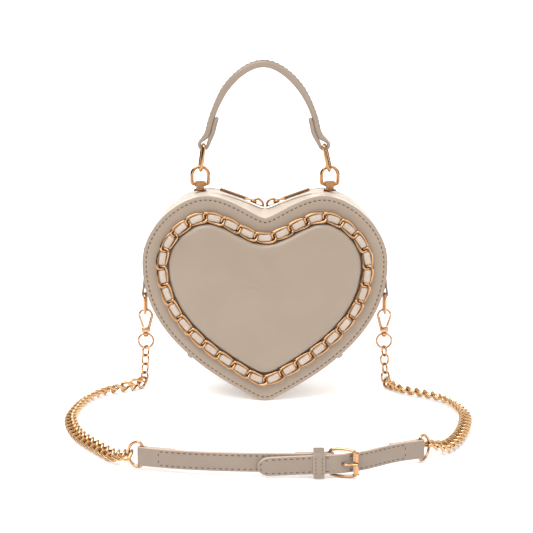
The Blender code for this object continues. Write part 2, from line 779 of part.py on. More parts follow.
def build_pull(name, hand, material):
    """The flat bar pull, whose eye goes round the slider's bridge."""
    hinge = pull_axis(hand)
    along = Vector((hand * math.cos(PULL_SLOPE), 0.0, math.sin(PULL_SLOPE)))
    up = Vector((-hand * math.sin(PULL_SLOPE), 0.0, math.cos(PULL_SLOPE)))
    side = Vector((0, 1, 0))
    eye = PULL_EYE_R
    shoulder = eye + 2 * PULL_T
    rings = []
    for distance, share in ((eye, 0.6), (shoulder, 1.0), (PULL_LENGTH - PULL_T / 2, 1.0), (PULL_LENGTH, 0.7)):
        here = hinge + along * distance
        corners = chamfered(PULL_HALF_WIDTH * share, PULL_T / 2 * share, PULL_T / 6)
        rings.append([here + side * a + up * b for a, b in corners])
    bm = bmesh.new()
    loft(bm, rings)
    bar = new_node(name, bm, material)
    bm = bmesh.new()
    points = [hinge + along * u + side * v for u, v in
              [(eye * math.cos(math.tau * k / 10), eye * math.sin(math.tau * k / 10)) for k in range(10)]]
    wire(bm, points, up, PULL_EYE_WIRE_R, sides=6)
    guide = new_node(name + "_eye_guide", bm, material)
    return boolean(bar, guide, "UNION")


def flank_spot(height):
    """The flank's point at a height and its outward direction, on the right side."""
    line = half_outline(NOTCH_Z, LOBE_Z)
    for a, b in zip(line[::-1], line[-2::-1]):
        if a[1] <= height <= b[1]:
            along = Vector((a[0] - b[0], a[1] - b[1])).normalized()
            share = (height - a[1]) / (b[1] - a[1])
            return Vector((a[0] + (b[0] - a[0]) * share, 0.0, height)), Vector((-along.y, 0.0, along.x))
    raise ValueError("no such height on the flank")


def build_zip_end_tab(name, hand, material):
    """The folded leather tab that covers one zip end."""
    spot, out = flank_spot(ZIP_END_Z - END_TAB_HALF - GAP)
    flip = Vector((hand, 1, 1))
    spot, out = spot * flip, out * flip
    along, side = Vector((-out.z, 0.0, out.x)), Vector((0, 1, 0))
    rings = []
    for reach, width_share in ((0.0, 1.0), (0.75, 0.95), (1.0, 0.7)):
        here = spot + out * (2 * GAP + END_TAB_REACH * reach)
        corners = chamfered(END_TAB_HALF * width_share, END_TAB_DEPTH_HALF * width_share, END_TAB_HALF / 3)
        rings.append([here + along * a + side * b for a, b in corners])
    bm = bmesh.new()
    loft(bm, rings)
    return new_node(name, bm, material)


def height_on(line, x):
    """Height of a line of points, which runs from left to right, at a distance from the middle."""
    for a, b in zip(line, line[1:]):
        if a.x <= x <= b.x:
            return a.y + (b.y - a.y) * (x - a.x) / (b.x - a.x)
    raise ValueError("the line ends before that distance")


def post_base():
    """Height of the seat of the handle posts: just above the gusset under their flanges."""
    outer = DEPTH / 2 - PANEL_T - GAP
    lines = [zip_run(y, 0.0, ZIP_END_Z + GAP) for y in (ZIP_SLOT_HALF, outer)]
    share = (HANDLE_Y + POST_FLANGE_HALF - ZIP_SLOT_HALF) / (outer - ZIP_SLOT_HALF)
    crest = 0.0
    for x in (HANDLE_X - POST_FLANGE_HALF, HANDLE_X, HANDLE_X + POST_FLANGE_HALF):
        inner_z, outer_z = (height_on(line, x) for line in lines)
        crest = max(crest, inner_z, inner_z + (outer_z - inner_z) * share)
    return crest + GAP


def pin_height():
    """Height of the axis that both handle rings turn about."""
    return post_base() + POST_PIN_Z


def build_handle_post(name, hand, material):
    """A flanged block screwed to the back gusset, bored for the ring's pins."""
    base = Vector((hand * HANDLE_X, HANDLE_Y, post_base()))
    up = Vector((0, 0, 1))
    levels = (
        (0.0, POST_FLANGE_HALF, POST_FLANGE_HALF), (POST_FLANGE_T, POST_FLANGE_HALF, POST_FLANGE_HALF),
        (POST_FLANGE_T, POST_HALF_X, POST_HALF_Y), (POST_H - POST_CHAMFER, POST_HALF_X, POST_HALF_Y),
        (POST_H, POST_HALF_X - POST_CHAMFER, POST_HALF_Y - POST_CHAMFER),
    )
    rings = []
    for height, half_x, half_y in levels:
        rings.append([base + up * height + Vector((a, b, 0)) for a, b in chamfered(half_x, half_y, POST_CHAMFER)])
    bm = bmesh.new()
    loft(bm, rings)
    post = new_node(name, bm, material)
    bm = bmesh.new()
    reach = POST_HALF_X + CUT_OVERRUN
    axis = Vector((1, 0, 0))
    start = Vector((hand * HANDLE_X, HANDLE_Y, pin_height())) - axis * reach
    turned(bm, start, axis, Vector((0, 1, 0)), ((0.0, PIN_R + GAP), (2 * reach, PIN_R + GAP)), 8)
    return boolean(post, new_node(name + "_bore_guide", bm, material), "DIFFERENCE")


def build_handle_ring(name, hand, material):
    """A U-shaped ring whose inturned ends sit in the post's bore."""
    inner = POST_HALF_X - PIN_LENGTH
    corner = RING_CORNER
    right = [(inner, 0.0), (RING_HALF - corner, 0.0)]
    right += arc((RING_HALF - corner, corner), corner, -math.pi / 2, 0.0, 3)[1:]
    right += arc((0.0, RING_RISE - RING_HALF), RING_HALF, 0.0, math.pi / 2, 4)
    flat = right + [(-u, v) for u, v in reversed(right[:-1])]
    middle = Vector((hand * HANDLE_X, HANDLE_Y, pin_height()))
    points = [middle + Vector((u, 0.0, v)) for u, v in flat]
    rings = []
    for i, point in enumerate(points):
        after, before = points[min(i + 1, len(points) - 1)], points[max(i - 1, 0)]
        along = (after - before).normalized()
        side = Vector((0, 1, 0))
        up = along.cross(side)
        radius = PIN_R if i in (0, 1, len(points) - 2, len(points) - 1) else RING_WIRE_R
        rings.append([point + (side * math.cos(math.tau * k / 6) + up * math.sin(math.tau * k / 6)) * radius for k in range(6)])
    bm = bmesh.new()
    loft(bm, rings)
    return new_node(name, bm, material)


def ring_top():
    """Height of the ring's top wire, which the handle link turns about."""
    return pin_height() + RING_RISE


def link_ends(hand):
    """Centres of a handle link's lower and upper end wires."""
    drop = RING_WIRE_R + GAP + LINK_WIRE_R
    low = Vector((hand * HANDLE_X, HANDLE_Y, ring_top() - drop))
    angle = LINK_LEAN_LEFT if hand < 0 else LINK_LEAN_RIGHT
    lean = Vector((-hand * math.sin(angle), 0.0, math.cos(angle)))
    return low, low + lean * (2 * LINK_HALF_LENGTH)


def build_handle_link(name, hand, material):
    """The long link with rounded corners between a ring and the handle's folded end."""
    low, high = link_ends(hand)
    along = (high - low).normalized()
    across = Vector((hand * math.sin(LINK_TURN), math.cos(LINK_TURN), 0.0))
    across = (across - along * across.dot(along)).normalized()
    straight, half = LINK_HALF_LENGTH - LINK_CORNER, LINK_HALF_WIDTH - LINK_CORNER
    flat = []
    for quarter, corner in enumerate(((straight, -half), (straight, half), (-straight, half), (-straight, -half))):
        start = math.pi / 2 * (quarter - 1)
        flat += arc(corner, LINK_CORNER, start, start + math.pi / 2, 3)
    middle = (low + high) / 2
    bm = bmesh.new()
    wire(bm, [middle + along * u + across * v for u, v in flat], along.cross(across), LINK_WIRE_R)
    return new_node(name, bm, material)


class Route:
    """A smooth line in two coordinates, measured by its length and straight beyond its ends."""

    def __init__(self, points, steps=12):
        knots = [Vector(p) for p in points]
        knots = [2 * knots[0] - knots[1]] + knots + [2 * knots[-1] - knots[-2]]
        self.spots = []
        for a, b, c, d in zip(knots, knots[1:], knots[2:], knots[3:]):
            for k in range(steps):
                t = k / steps
                self.spots.append(0.5 * (2 * b + (c - a) * t + (2 * a - 5 * b + 4 * c - d) * t * t
                                         + (3 * b - a - 3 * c + d) * t ** 3))
        self.spots.append(knots[-2])
        self.lengths = [0.0]
        for a, b in zip(self.spots, self.spots[1:]):
            self.lengths.append(self.lengths[-1] + (b - a).length)
        self.length = self.lengths[-1]

    def at(self, distance):
        """Point, direction and left-hand normal at a distance along the line."""
        at = 0
        while at < len(self.spots) - 2 and self.lengths[at + 1] < distance:
            at += 1
        a, b = self.spots[at], self.spots[at + 1]
        along = (b - a).normalized()
        point = a + along * (distance - self.lengths[at])
        return point, along, Vector((-along.y, along.x))

    def distance_at(self, value, axis=0):
        """Distance along the line at which a coordinate is first passed."""
        for k, spot in enumerate(self.spots):
            if spot[axis] >= value:
                return self.lengths[k]
        return self.length


def fold_points(bar_at, radius, spacing, bulge, back_end, ease, outward):
    """One folded end of a strap in (distance, offset): out past the bar, round it and back."""
    points = []
    for k in range(4):
        share = k / 3
        points.append((bar_at - outward * ease * (1 - share), -bulge * smooth_step(share)))
    for u, v in arc((0.0, radius - bulge), radius, -math.pi / 2, math.pi / 2, 6)[1:-1]:
        points.append((bar_at + outward * u, v))
    for k in range(4):
        share = k / 3
        points.append((bar_at - outward * ease * share, 2 * radius - bulge + (spacing - 2 * radius + bulge) * smooth_step(share)))
    points.append((back_end, spacing))
    return points


def ribbon(bm, line, thickness, half_widths, place):
    """A strap along a line of 2D points; place turns (point, offset across the width) into space."""
    rings = []
    for i, spot in enumerate(line):
        after, before = line[min(i + 1, len(line) - 1)], line[max(i - 1, 0)]
        along = (after - before).normalized()
        normal = Vector((-along.y, along.x))
        half_t, half_w = thickness[i] / 2, half_widths[i]
        edge = half_w - min(half_w, thickness[i]) * EDGE_SHARE
        ring = []
        for n, w in ((half_t, edge), (0.0, half_w), (-half_t, edge), (-half_t, -edge), (0.0, -half_w), (half_t, -edge)):
            ring.append(place(spot + normal * n, w))
        rings.append(ring)
    loft(bm, rings)


def mapped(route, points):
    """Turns (distance, offset) pairs into points beside a route."""
    line = []
    for distance, offset in points:
        spot, _, normal = route.at(distance)
        line.append(spot + normal * offset)
    return line


def handle_route():
    """The middle line of the handle's outer layer, from the left link to the right one."""
    reach = handle_fold_radius() - HANDLE_BULGE
    base = link_ends(-1)[1].z
    knots = [(x * HANDLE_SPAN, base + z * HANDLE_RISE) for x, z in HANDLE_KNOT_SHARES]
    ends = []
    for hand, knot in ((-1, knots[0]), (1, knots[-1])):
        _, bar = link_ends(hand)
        end = Vector((bar.x, bar.z))
        for _ in range(3):
            outward = (Vector(knot) - end).normalized() * hand
            end = Vector((bar.x, bar.z)) + Vector((outward.y, -outward.x)) * reach
        ends.append(tuple(end))
    return Route([ends[0]] + knots + [ends[1]], 6)


def handle_fold_radius():
    """Radius of the handle's fold round a link."""
    return LINK_WIRE_R + GAP + HANDLE_LOOP_CLEAR + HANDLE_END_T / 2


def build_handle(material):
    """The handle: a thick leather strap, its ends folded round the links and stitched inside."""
    route = handle_route()
    radius = handle_fold_radius()
    spacing = (HANDLE_T + HANDLE_BACK_T) / 2 + GAP
    far = route.length - HANDLE_FOLD_BACK
    right = fold_points(route.length, radius, spacing, HANDLE_BULGE, far, HANDLE_EASE, 1)
    left = fold_points(0.0, radius, spacing, HANDLE_BULGE, HANDLE_FOLD_BACK, HANDLE_EASE, -1)
    steps = HANDLE_PIECES
    between = [(HANDLE_EASE + (route.length - 2 * HANDLE_EASE) * k / steps, 0.0) for k in range(1, steps)]
    points = list(reversed(left)) + between + right
    thickness, half_widths = [], []
    for i, (s, _) in enumerate(points):
        from_bar = max(0.0, min(s, route.length - s))
        in_back = i < HANDLE_BACK_POINTS or i >= len(points) - HANDLE_BACK_POINTS
        full = HANDLE_BACK_T if in_back else HANDLE_T
        thickness.append(HANDLE_END_T + (full - HANDLE_END_T) * smooth_step(from_bar / HANDLE_THIN_LENGTH))
        share = smooth_step((from_bar - HANDLE_EASE / 2) / HANDLE_TAPER)
        half_widths.append(HANDLE_LOOP_HALF + (HANDLE_HALF - HANDLE_LOOP_HALF) * share)
    bm = bmesh.new()
    ribbon(bm, mapped(route, [(s, -n) for s, n in points]), thickness, half_widths,
           lambda spot, w: Vector((spot.x, HANDLE_Y + w, spot.y)))
    return new_node("handle_strap", bm, material)


def side_ring_bottom():
    """Height of the centre of a side ring's bottom wire."""
    return SIDE_RING_TOP_Z - SIDE_RING_H


def side_fold_radius():
    """Radius of the side tab's fold round the ring wire."""
    return SIDE_RING_WIRE_R + GAP + SIDE_TAB_T / 2


def side_ring_x():
    """Distance of the side rings from the middle."""
    inner = HALF_WIDTH + GAP + SIDE_TAB_T / 2
    outer = inner + SIDE_TAB_T + GAP
    return outer - side_fold_radius() + SIDE_TAB_BULGE


def build_side_tab(name, hand, material):
    """A leather tab stitched to the back gusset's side and folded round the side ring."""
    outer = HALF_WIDTH + GAP + SIDE_TAB_T * 1.5 + GAP
    radius = side_fold_radius()
    height = SIDE_TAB_TOP_Z - SIDE_RING_TOP_Z
    points = [(0.0, 0.0)] + fold_points(height, radius, SIDE_TAB_T + GAP, SIDE_TAB_BULGE, 0.0, 3 * radius, 1)
    line = [Vector((hand * (outer - offset), SIDE_TAB_TOP_Z - along)) for along, offset in points]
    bm = bmesh.new()
    ribbon(bm, line, [SIDE_TAB_T] * len(line), [SIDE_TAB_HALF] * len(line),
           lambda spot, w: Vector((spot.x, SIDE_Y + w, spot.y)))
    return new_node(name, bm, material)


def build_side_ring(name, hand, material):
    """A rectangular ring with round corners, hung in the side tab in the plane of Y and Z."""
    half_h, corner = SIDE_RING_H / 2, SIDE_RING_CORNER
    flat = []
    for a, b, start in ((1, 1, 0.0), (-1, 1, math.pi / 2), (-1, -1, math.pi), (1, -1, 3 * math.pi / 2)):
        flat += arc((a * (SIDE_RING_HALF - corner), b * (half_h - corner)), corner, start, start + math.pi / 2, 3)
    middle = Vector((hand * side_ring_x(), SIDE_Y, SIDE_RING_TOP_Z - half_h))
    bm = bmesh.new()
    wire(bm, [middle + Vector((0.0, u, v)) for u, v in flat], Vector((1, 0, 0)), SIDE_RING_WIRE_R)
    return new_node(name, bm, material)


def hook_top():
    """Height of the centre of the hook's top wire, which the strap swings about."""
    return side_ring_bottom() + SIDE_RING_WIRE_R + GAP + HOOK_WIRE_R


def hook_curve():
    """The right half of the pear-shaped hook, from the top down to the neck, below its top wire."""
    circle = (0.0, -HOOK_TOP_R)
    points = arc(circle, HOOK_TOP_R, math.pi / 2, -math.radians(20), 6)
    points.append((HOOK_NECK_HALF, -HOOK_H))
    return points


def clasp_axis(hand):
    """A point on a clasp's swivel axis, at the top wire's height."""
    return Vector((hand * side_ring_x(), SIDE_Y, hook_top()))


def build_clasp_hook(name, hand, material):
    """The pear-shaped wire hook with its neck, swivel post and rivet head; the outer side is open."""
    top = clasp_axis(hand)
    shape = hook_curve()
    gate_from = round(len(shape) * (1 - GATE_SHARE))
    line = [(u, v) for u, v in reversed(shape[1:gate_from + 1])] + [(-u, v) for u, v in shape]
    bm = bmesh.new()
    points = [top + Vector((hand * u, 0.0, v)) for u, v in line]
    points[-1] = points[-1] - Vector((0, 0, NECK_H / 3))
    wire(bm, points, Vector((0, 1, 0)), HOOK_WIRE_R, closed=False)
    hook = new_node(name, bm, material)
    bm = bmesh.new()
    neck_top = top - Vector((0, 0, HOOK_H))
    rings = []
    for drop, x_share, y_share in ((0.0, 0.8, 0.8), (0.2, 1.0, 1.0), (0.75, 1.0, 1.0), (1.0, 0.7, 0.8)):
        rings.append([neck_top - Vector((-a, -b, NECK_H * drop))
                      for a, b in chamfered(NECK_HALF * x_share, NECK_DEPTH_HALF * y_share, NECK_DEPTH_HALF / 2)])
    loft(bm, rings)
    boolean(hook, new_node(name + "_neck_guide", bm, material), "UNION")
    bm = bmesh.new()
    length = BOSS_H + 2 * GAP
    start = neck_top - Vector((0, 0, NECK_H - CUT_OVERRUN / 2))
    turned(bm, start, Vector((0, 0, -1)), Vector((1, 0, 0)), (
        (0.0, SWIVEL_POST_R), (CUT_OVERRUN / 2 + length, SWIVEL_POST_R),
        (CUT_OVERRUN / 2 + length, RIVET_R), (CUT_OVERRUN / 2 + length + RIVET_H * 0.6, RIVET_R),
        (CUT_OVERRUN / 2 + length + RIVET_H, RIVET_R * 0.6),
    ), 8)
    return boolean(hook, new_node(name + "_post_guide", bm, material), "UNION")


def gate_hinge(hand):
    """The point a clasp's gate turns about, at the neck."""
    return clasp_axis(hand) + Vector((hand * HOOK_NECK_HALF, 0.0, -HOOK_H + HOOK_WIRE_R + GAP))


def build_clasp_gate(name, hand, material):
    """The sprung wire gate that closes the hook's outer side."""
    shape = hook_curve()
    gate_from = round(len(shape) * (1 - GATE_SHARE))
    top = clasp_axis(hand)
    line = [Vector(p) for p in shape[gate_from:]]
    step = (line[1] - line[0]).normalized() * GATE_CLEAR
    line[0] = line[0] + step
    line[-1] = Vector((HOOK_NECK_HALF, -HOOK_H + GAP + HOOK_WIRE_R / 2))
    bm = bmesh.new()
    wire(bm, [top + Vector((hand * p.x, 0.0, p.y)) for p in line], Vector((0, 1, 0)), HOOK_WIRE_R * 0.95, closed=False)
    return new_node(name, bm, material)


def swivel_top():
    """Height of the centre of the swivel ring's top wire."""
    return hook_top() - HOOK_H - NECK_H - GAP - SWIVEL_WIRE_R


def build_swivel_ring(name, hand, material):
    """The round ring below the clasp, with a pierced boss for the swivel post."""
    middle = Vector((hand * side_ring_x(), SIDE_Y, swivel_top() - SWIVEL_R))
    flat = arc((0.0, 0.0), SWIVEL_R, math.pi / 2, math.pi / 2 + math.tau, 14)[:-1]
    bm = bmesh.new()
    wire(bm, [middle + Vector((u, 0.0, v)) for u, v in flat], Vector((0, 1, 0)), SWIVEL_WIRE_R, sides=5)
    ring = new_node(name, bm, material)
    down, side = Vector((0, 0, -1)), Vector((1, 0, 0))
    start = Vector((hand * side_ring_x(), SIDE_Y, swivel_top() + SWIVEL_WIRE_R))
    bm = bmesh.new()
    turned(bm, start, down, side, ((0.0, BOSS_R), (BOSS_H, BOSS_R)), 8)
    boolean(ring, new_node(name + "_boss_guide", bm, material), "UNION")
    bm = bmesh.new()
    bore = SWIVEL_POST_R + GAP
    turned(bm, start - down * CUT_OVERRUN, down, side, ((0.0, bore), (BOSS_H + 2 * CUT_OVERRUN, bore)), 8)
    return boolean(ring, new_node(name + "_bore_guide", bm, material), "DIFFERENCE")


def strap_height():
    """Height of the middle of the leather strap, which the buckle and rings hold off the floor."""
    return FRAME_HALF + FRAME_BOW + FRAME_WIRE_R + FLOOR_CLEAR


def on_edge_height():
    """Height of a curb link's middle where the chain stands on its edge."""
    return CURB_HALF_WIDTH + CURB_WIRE_R + FLOOR_CLEAR


def plan(shares):
    """Plan positions from shares of the strap loop's size."""
    return [(x * LOOP_SIDE, y * LOOP_REACH) for x, y in shares]


def landing(hand):
    """Plan position where the small links meet the curb chain."""
    return Vector((hand * (side_ring_x() + DROP_LEAN_X), SIDE_Y - DROP_LEAN_Y))


def chain_knots(hand):
    """Plan points that the curb chain passes between its two ends."""
    return plan(LEFT_CHAIN_SHARES if hand < 0 else RIGHT_CHAIN_SHARES)


def start_direction(hand):
    """Plan direction in which the curb chain leaves the small links."""
    return (Vector(chain_knots(hand)[0]) - landing(hand)).normalized()


def build_link_chain(name, hand, material):
    """Small oval links that hang from the swivel ring to the curb chain."""
    inside = SWIVEL_WIRE_R + GAP + SMALL_WIRE_R
    high = Vector((hand * side_ring_x(), SIDE_Y, swivel_top() - 2 * SWIVEL_R + inside))
    foot = landing(hand)
    low = Vector((foot.x, foot.y, on_edge_height()))
    drop = high - low
    pitch = (drop.length - 2 * SMALL_WIRE_R + SMALL_GRIP) / LINK4_COUNT
    half_length = SMALL_WIRE_R + (pitch - SMALL_GRIP) / 2
    down = -drop.normalized()
    heading = start_direction(hand)
    facing = Vector((heading.x, heading.y, 0.0))
    sideways = Vector((-heading.y, heading.x, 0.0))
    places = []
    for k in range(LINK4_COUNT):
        centre = high + down * (half_length + pitch * k)
        wanted = sideways if (LINK4_COUNT - 1 - k) % 2 == 0 else facing
        across = (wanted - down * wanted.dot(down)).normalized()
        places.append((centre, down, across, 0.0))
    return build_chain(name, places, (half_length, SMALL_HALF_WIDTH, 0.0), SMALL_WIRE_R, material)


def ring_bar(hand):
    """Plan position of the strap ring's bar inside the leather fold."""
    route = strap_route(hand)
    end = 0.0 if hand < 0 else route.length
    spot, _, normal = route.at(end)
    return spot + normal * strap_fold_radius(STRAP_RING_WIRE_R)


def strap_fold_radius(wire_r):
    """Radius of the strap's fold round a bar, where the leather is skived thinner."""
    return wire_r + GAP + STRAP_FOLD_T / 2


def skived(points, length, folds):
    """Thickness of a strap at each (distance, offset): thinner round the bars at the listed ends."""
    thickness = []
    for s, _ in points:
        from_bar = max(0.0, min(s if end == 0.0 else length - s for end in folds))
        thickness.append(STRAP_FOLD_T + (STRAP_T - STRAP_FOLD_T) * smooth_step(from_bar / STRAP_FOLD_EASE))
    return thickness


def ring_direction(hand):
    """Plan direction in which a strap ring points, from its bar to its bow."""
    turn = LEFT_RING_TURN if hand < 0 else RIGHT_RING_TURN
    return Vector((math.cos(turn), math.sin(turn)))


def curb_roll(distance, length):
    """How far a curb link is tipped from standing on edge, and its share of the rise to the strap."""
    lift = smooth_step(1 - (length - distance) / CURB_RISE_LENGTH)
    return CURB_ROLL * smooth_step(distance / CURB_ROLL_LENGTH) + (CURB_END_ROLL - CURB_ROLL) * lift, lift


def build_curb_chain(name, hand, material):
    """The heavy curb chain on the floor: on edge at the small links, half tipped for the rest."""
    heading = start_direction(hand)
    start = landing(hand) - heading * (SMALL_WIRE_R + GAP + CURB_WIRE_R)
    hold = STRAP_RING_DEPTH - STRAP_RING_WIRE_R - 2 * GAP - CURB_WIRE_R
    end = ring_bar(hand) + ring_direction(hand) * hold
    lead = ring_bar(hand) + ring_direction(hand) * (hold + CURB_LEAD)
    route = Route([tuple(start)] + chain_knots(hand) + [tuple(lead), tuple(end)])
    free = route.length - 2 * CURB_WIRE_R + CURB_GRIP
    count = round(free / CURB_PITCH)
    pitch = free / count
    half_length = CURB_WIRE_R + (pitch - CURB_GRIP) / 2
    places = []
    for k in range(count):
        distance = half_length + pitch * k
        back, _, _ = route.at(distance - half_length / 2)
        front, _, _ = route.at(distance + half_length / 2)
        heights = []
        for spot in (distance - half_length / 2, distance, distance + half_length / 2):
            roll, lift = curb_roll(spot, route.length)
            resting = CURB_HALF_WIDTH * math.cos(roll) + CURB_TWIST * math.sin(roll) + CURB_WIRE_R + FLOOR_CLEAR
            heights.append(resting + (strap_height() - resting) * lift)
        along = Vector((front.x - back.x, front.y - back.y, heights[2] - heights[0])).normalized()
        middle, _, _ = route.at(distance)
        roll, _ = curb_roll(distance, route.length)
        level = Vector((0, 0, 1)).cross(along).normalized()
        upright = along.cross(level)
        across = upright * math.cos(roll) - level * (hand * math.sin(roll))
        places.append((Vector((middle.x, middle.y, heights[1])), along, across, min(1.0, k * CURB_TWIST_STEP)))
    return build_chain(name, places, (half_length, CURB_HALF_WIDTH, CURB_TWIST), CURB_WIRE_R, material)


def build_strap_ring(name, hand, material):
    """A D-ring that stands upright: its bar is in the strap's fold, its bow holds the chain."""
    bar, ahead = ring_bar(hand), ring_direction(hand)
    corner = STRAP_RING_DEPTH / 4
    bow = STRAP_RING_DEPTH
    flat = [(0.0, -STRAP_RING_HALF + corner), (0.0, 0.0), (0.0, STRAP_RING_HALF - corner)]
    flat += arc((corner, STRAP_RING_HALF - corner), corner, math.pi, math.pi / 2, 2)[1:]
    for k in range(1, 8):
        turn = math.pi / 2 - math.pi * k / 8
        flat.append((corner + (bow - corner) * math.cos(turn), STRAP_RING_HALF * math.sin(turn)))
    flat += arc((corner, -STRAP_RING_HALF + corner), corner, -math.pi / 2, -math.pi, 2)[:-1]
    lift = STRAP_RING_LIFT if hand < 0 else 0.0
    centre = Vector((bar.x, bar.y, strap_height() + lift))
    across = Vector((ahead.x, ahead.y, 0.0))
    bm = bmesh.new()
    wire(bm, [centre + across * u + Vector((0, 0, v)) for u, v in flat],
         across.cross(Vector((0, 0, 1))), STRAP_RING_WIRE_R)
    return new_node(name, bm, material)


def heel_spot():
    """Plan position of the buckle's heel bar."""
    return Vector((HEEL_SHARE * LOOP_SIDE, -LOOP_REACH + strap_fold_radius(FRAME_WIRE_R)))


def strap_route(hand):
    """Plan line of the buckle strap (left) or the tail strap (right), always from left to right."""
    heel = heel_spot()
    if hand < 0:
        straight = [(0.0, -LOOP_REACH * 0.9985), (heel.x * 0.5, -LOOP_REACH), (heel.x, -LOOP_REACH)]
        return Route(plan(STRAP_LEFT_SHARES) + straight)
    front = -LOOP_REACH - STRAP_T - STRAP_LAYER_GAP
    straight = [(TIP_SHARE * LOOP_SIDE, front), (heel.x * 0.5, front), (heel.x + PRONG_CROSS * 0.4, front),
                (heel.x + PRONG_CROSS, front + STRAP_T * 0.4)]
    return Route(straight + plan(STRAP_RIGHT_SHARES))


def place_in_plan(spot, w):
    """A point of the leather strap from its plan position and height above the strap's middle."""
    return Vector((spot.x, spot.y, strap_height() + w))


def place_tail(spot, w):
    """A point of the tail strap, which sags towards its free tip."""
    crossing = heel_spot().x + PRONG_CROSS / 2
    tip = TIP_SHARE * LOOP_SIDE
    share = min(1.0, max(0.0, (crossing - spot.x) / (crossing - tip)))
    return Vector((spot.x, spot.y, strap_height() + w - TAIL_SAG * share))


def prong_line():
    """The prong's wire in plan: an eye round the heel bar, a crank through the strap, and its tip."""
    heel = heel_spot()
    eye = FRAME_WIRE_R + GAP + PRONG_R
    line = [heel + Vector((eye * math.cos(a), eye * math.sin(a)))
            for a in (math.radians(d) for d in (20.0, 65.0, 110.0, 155.0, 200.0, 240.0, 270.0))]
    cross = heel + Vector((PRONG_CROSS - PRONG_RUN / 2, -eye))
    front = -LOOP_REACH - 1.5 * STRAP_T - STRAP_LAYER_GAP - GAP - PRONG_R
    over = Vector((heel.x + PRONG_CROSS + PRONG_RUN / 2, front))
    ahead = Vector((math.cos(FRAME_SWING), -math.sin(FRAME_SWING)))
    away = Vector((ahead.y, -ahead.x))
    tip = bar_spot() + away * (BAR_T / 2 + GAP + PRONG_R)
    return line + [cross, over, tip - ahead * BAR_HALF_LENGTH, tip + ahead * (BAR_HALF_LENGTH * PRONG_TIP_SHARE)]


def bar_spot():
    """Plan position of the middle of the buckle's front bar."""
    return heel_spot() + Vector((math.cos(FRAME_SWING), -math.sin(FRAME_SWING))) * FRAME_LENGTH


def build_strap_left(material):
    """The buckle strap: folded round the left ring and round the buckle's heel bar."""
    route = strap_route(-1)
    left_r, right_r = strap_fold_radius(STRAP_RING_WIRE_R), strap_fold_radius(FRAME_WIRE_R)
    spacing = STRAP_T + STRAP_LAYER_GAP
    left = fold_points(0.0, left_r, spacing, 0.0, STRAP_FOLD_BACK, STRAP_FOLD_EASE, -1)
    right = fold_points(route.length, right_r, spacing, 0.0, route.length - STRAP_FOLD_BACK, STRAP_FOLD_EASE, 1)
    first, last = left[0][0], right[0][0]
    steps = max(2, round((last - first) / STRAP_STEP))
    between = [(first + (last - first) * k / steps, 0.0) for k in range(1, steps)]
    points = list(reversed(left)) + between + right
    bm = bmesh.new()
    thickness = skived(points, route.length, (0.0, 1.0))
    ribbon(bm, mapped(route, points), thickness, [STRAP_HALF] * len(points), place_in_plan)
    strap = new_node("strap_left", bm, material)
    bm = bmesh.new()
    heel = heel_spot()
    reach = right_r + STRAP_T
    centre = Vector((heel.x + reach / 4, heel.y, strap_height()))
    block(bm, centre, (reach, reach + STRAP_T, PRONG_SLOT_HALF))
    return boolean(strap, new_node("strap_left_slot_guide", bm, material), "DIFFERENCE")


def build_strap_right(material):
    """The tail strap: its pointed end lies over the buckle strap, its other end holds the right ring."""
    route = strap_route(1)
    radius = strap_fold_radius(STRAP_RING_WIRE_R)
    spacing = STRAP_T + STRAP_LAYER_GAP
    right = fold_points(route.length, radius, spacing, 0.0, route.length - STRAP_FOLD_BACK, STRAP_FOLD_EASE, 1)
    points, half_widths = [], []
    for share in (0.02, 0.1, 0.25, 0.45, 0.7):
        points.append((STRAP_TIP * share, 0.0))
        half_widths.append(STRAP_HALF * math.sqrt(1 - (1 - share) ** 2))
    first, last = STRAP_TIP, right[0][0]
    steps = max(2, round((last - first) / STRAP_STEP))
    points += [(first + (last - first) * k / steps, 0.0) for k in range(steps)] + right
    half_widths += [STRAP_HALF] * (len(points) - len(half_widths))
    bm = bmesh.new()
    ribbon(bm, mapped(route, points), skived(points, route.length, (1.0,)), half_widths, place_tail)
    strap = new_node("strap_right", bm, material)
    line = prong_line()
    cross, over = line[-4], line[-3]
    lean = (over - cross).normalized()
    middle = (cross + over) / 2
    bm = bmesh.new()
    axes = (Vector((lean.x, lean.y, 0.0)), Vector((-lean.y, lean.x, 0.0)), Vector((0, 0, 1)))
    block(bm, Vector((middle.x, middle.y, strap_height())),
          (2 * STRAP_T, HOLE_HALF + GAP, HOLE_HALF), axes)
    return boolean(strap, new_node("strap_right_hole_guide", bm, material), "DIFFERENCE")


def keeper_span():
    """Front and back faces of the leather that the keeper holds, in plan."""
    front = -LOOP_REACH - 1.5 * STRAP_T - STRAP_LAYER_GAP
    back = -LOOP_REACH + 1.5 * STRAP_T + STRAP_LAYER_GAP
    return front, back


def build_keeper(material):
    """The leather loop that holds the strap's tail against the buckle strap."""
    front, back = keeper_span()
    middle = Vector((KEEPER_SHARE * LOOP_SIDE, (front + back) / 2, strap_height() - GAP))
    inner_y, inner_z = (back - front) / 2 + GAP, STRAP_HALF + GAP + KEEPER_TILT
    rings = []
    for half_x, extra in ((-1, KEEPER_T), (1, KEEPER_T), (1, 0.0), (-1, 0.0)):
        corners = chamfered(inner_y + extra, inner_z + extra, (extra + GAP) / 2)
        rings.append([
            middle + Vector((half_x * KEEPER_LENGTH / 2, a, b + KEEPER_TILT * a / inner_y)) for a, b in corners
        ])
    bm = bmesh.new()
    loft(bm, rings, joined=True)
    return new_node("strap_keeper", bm, material)


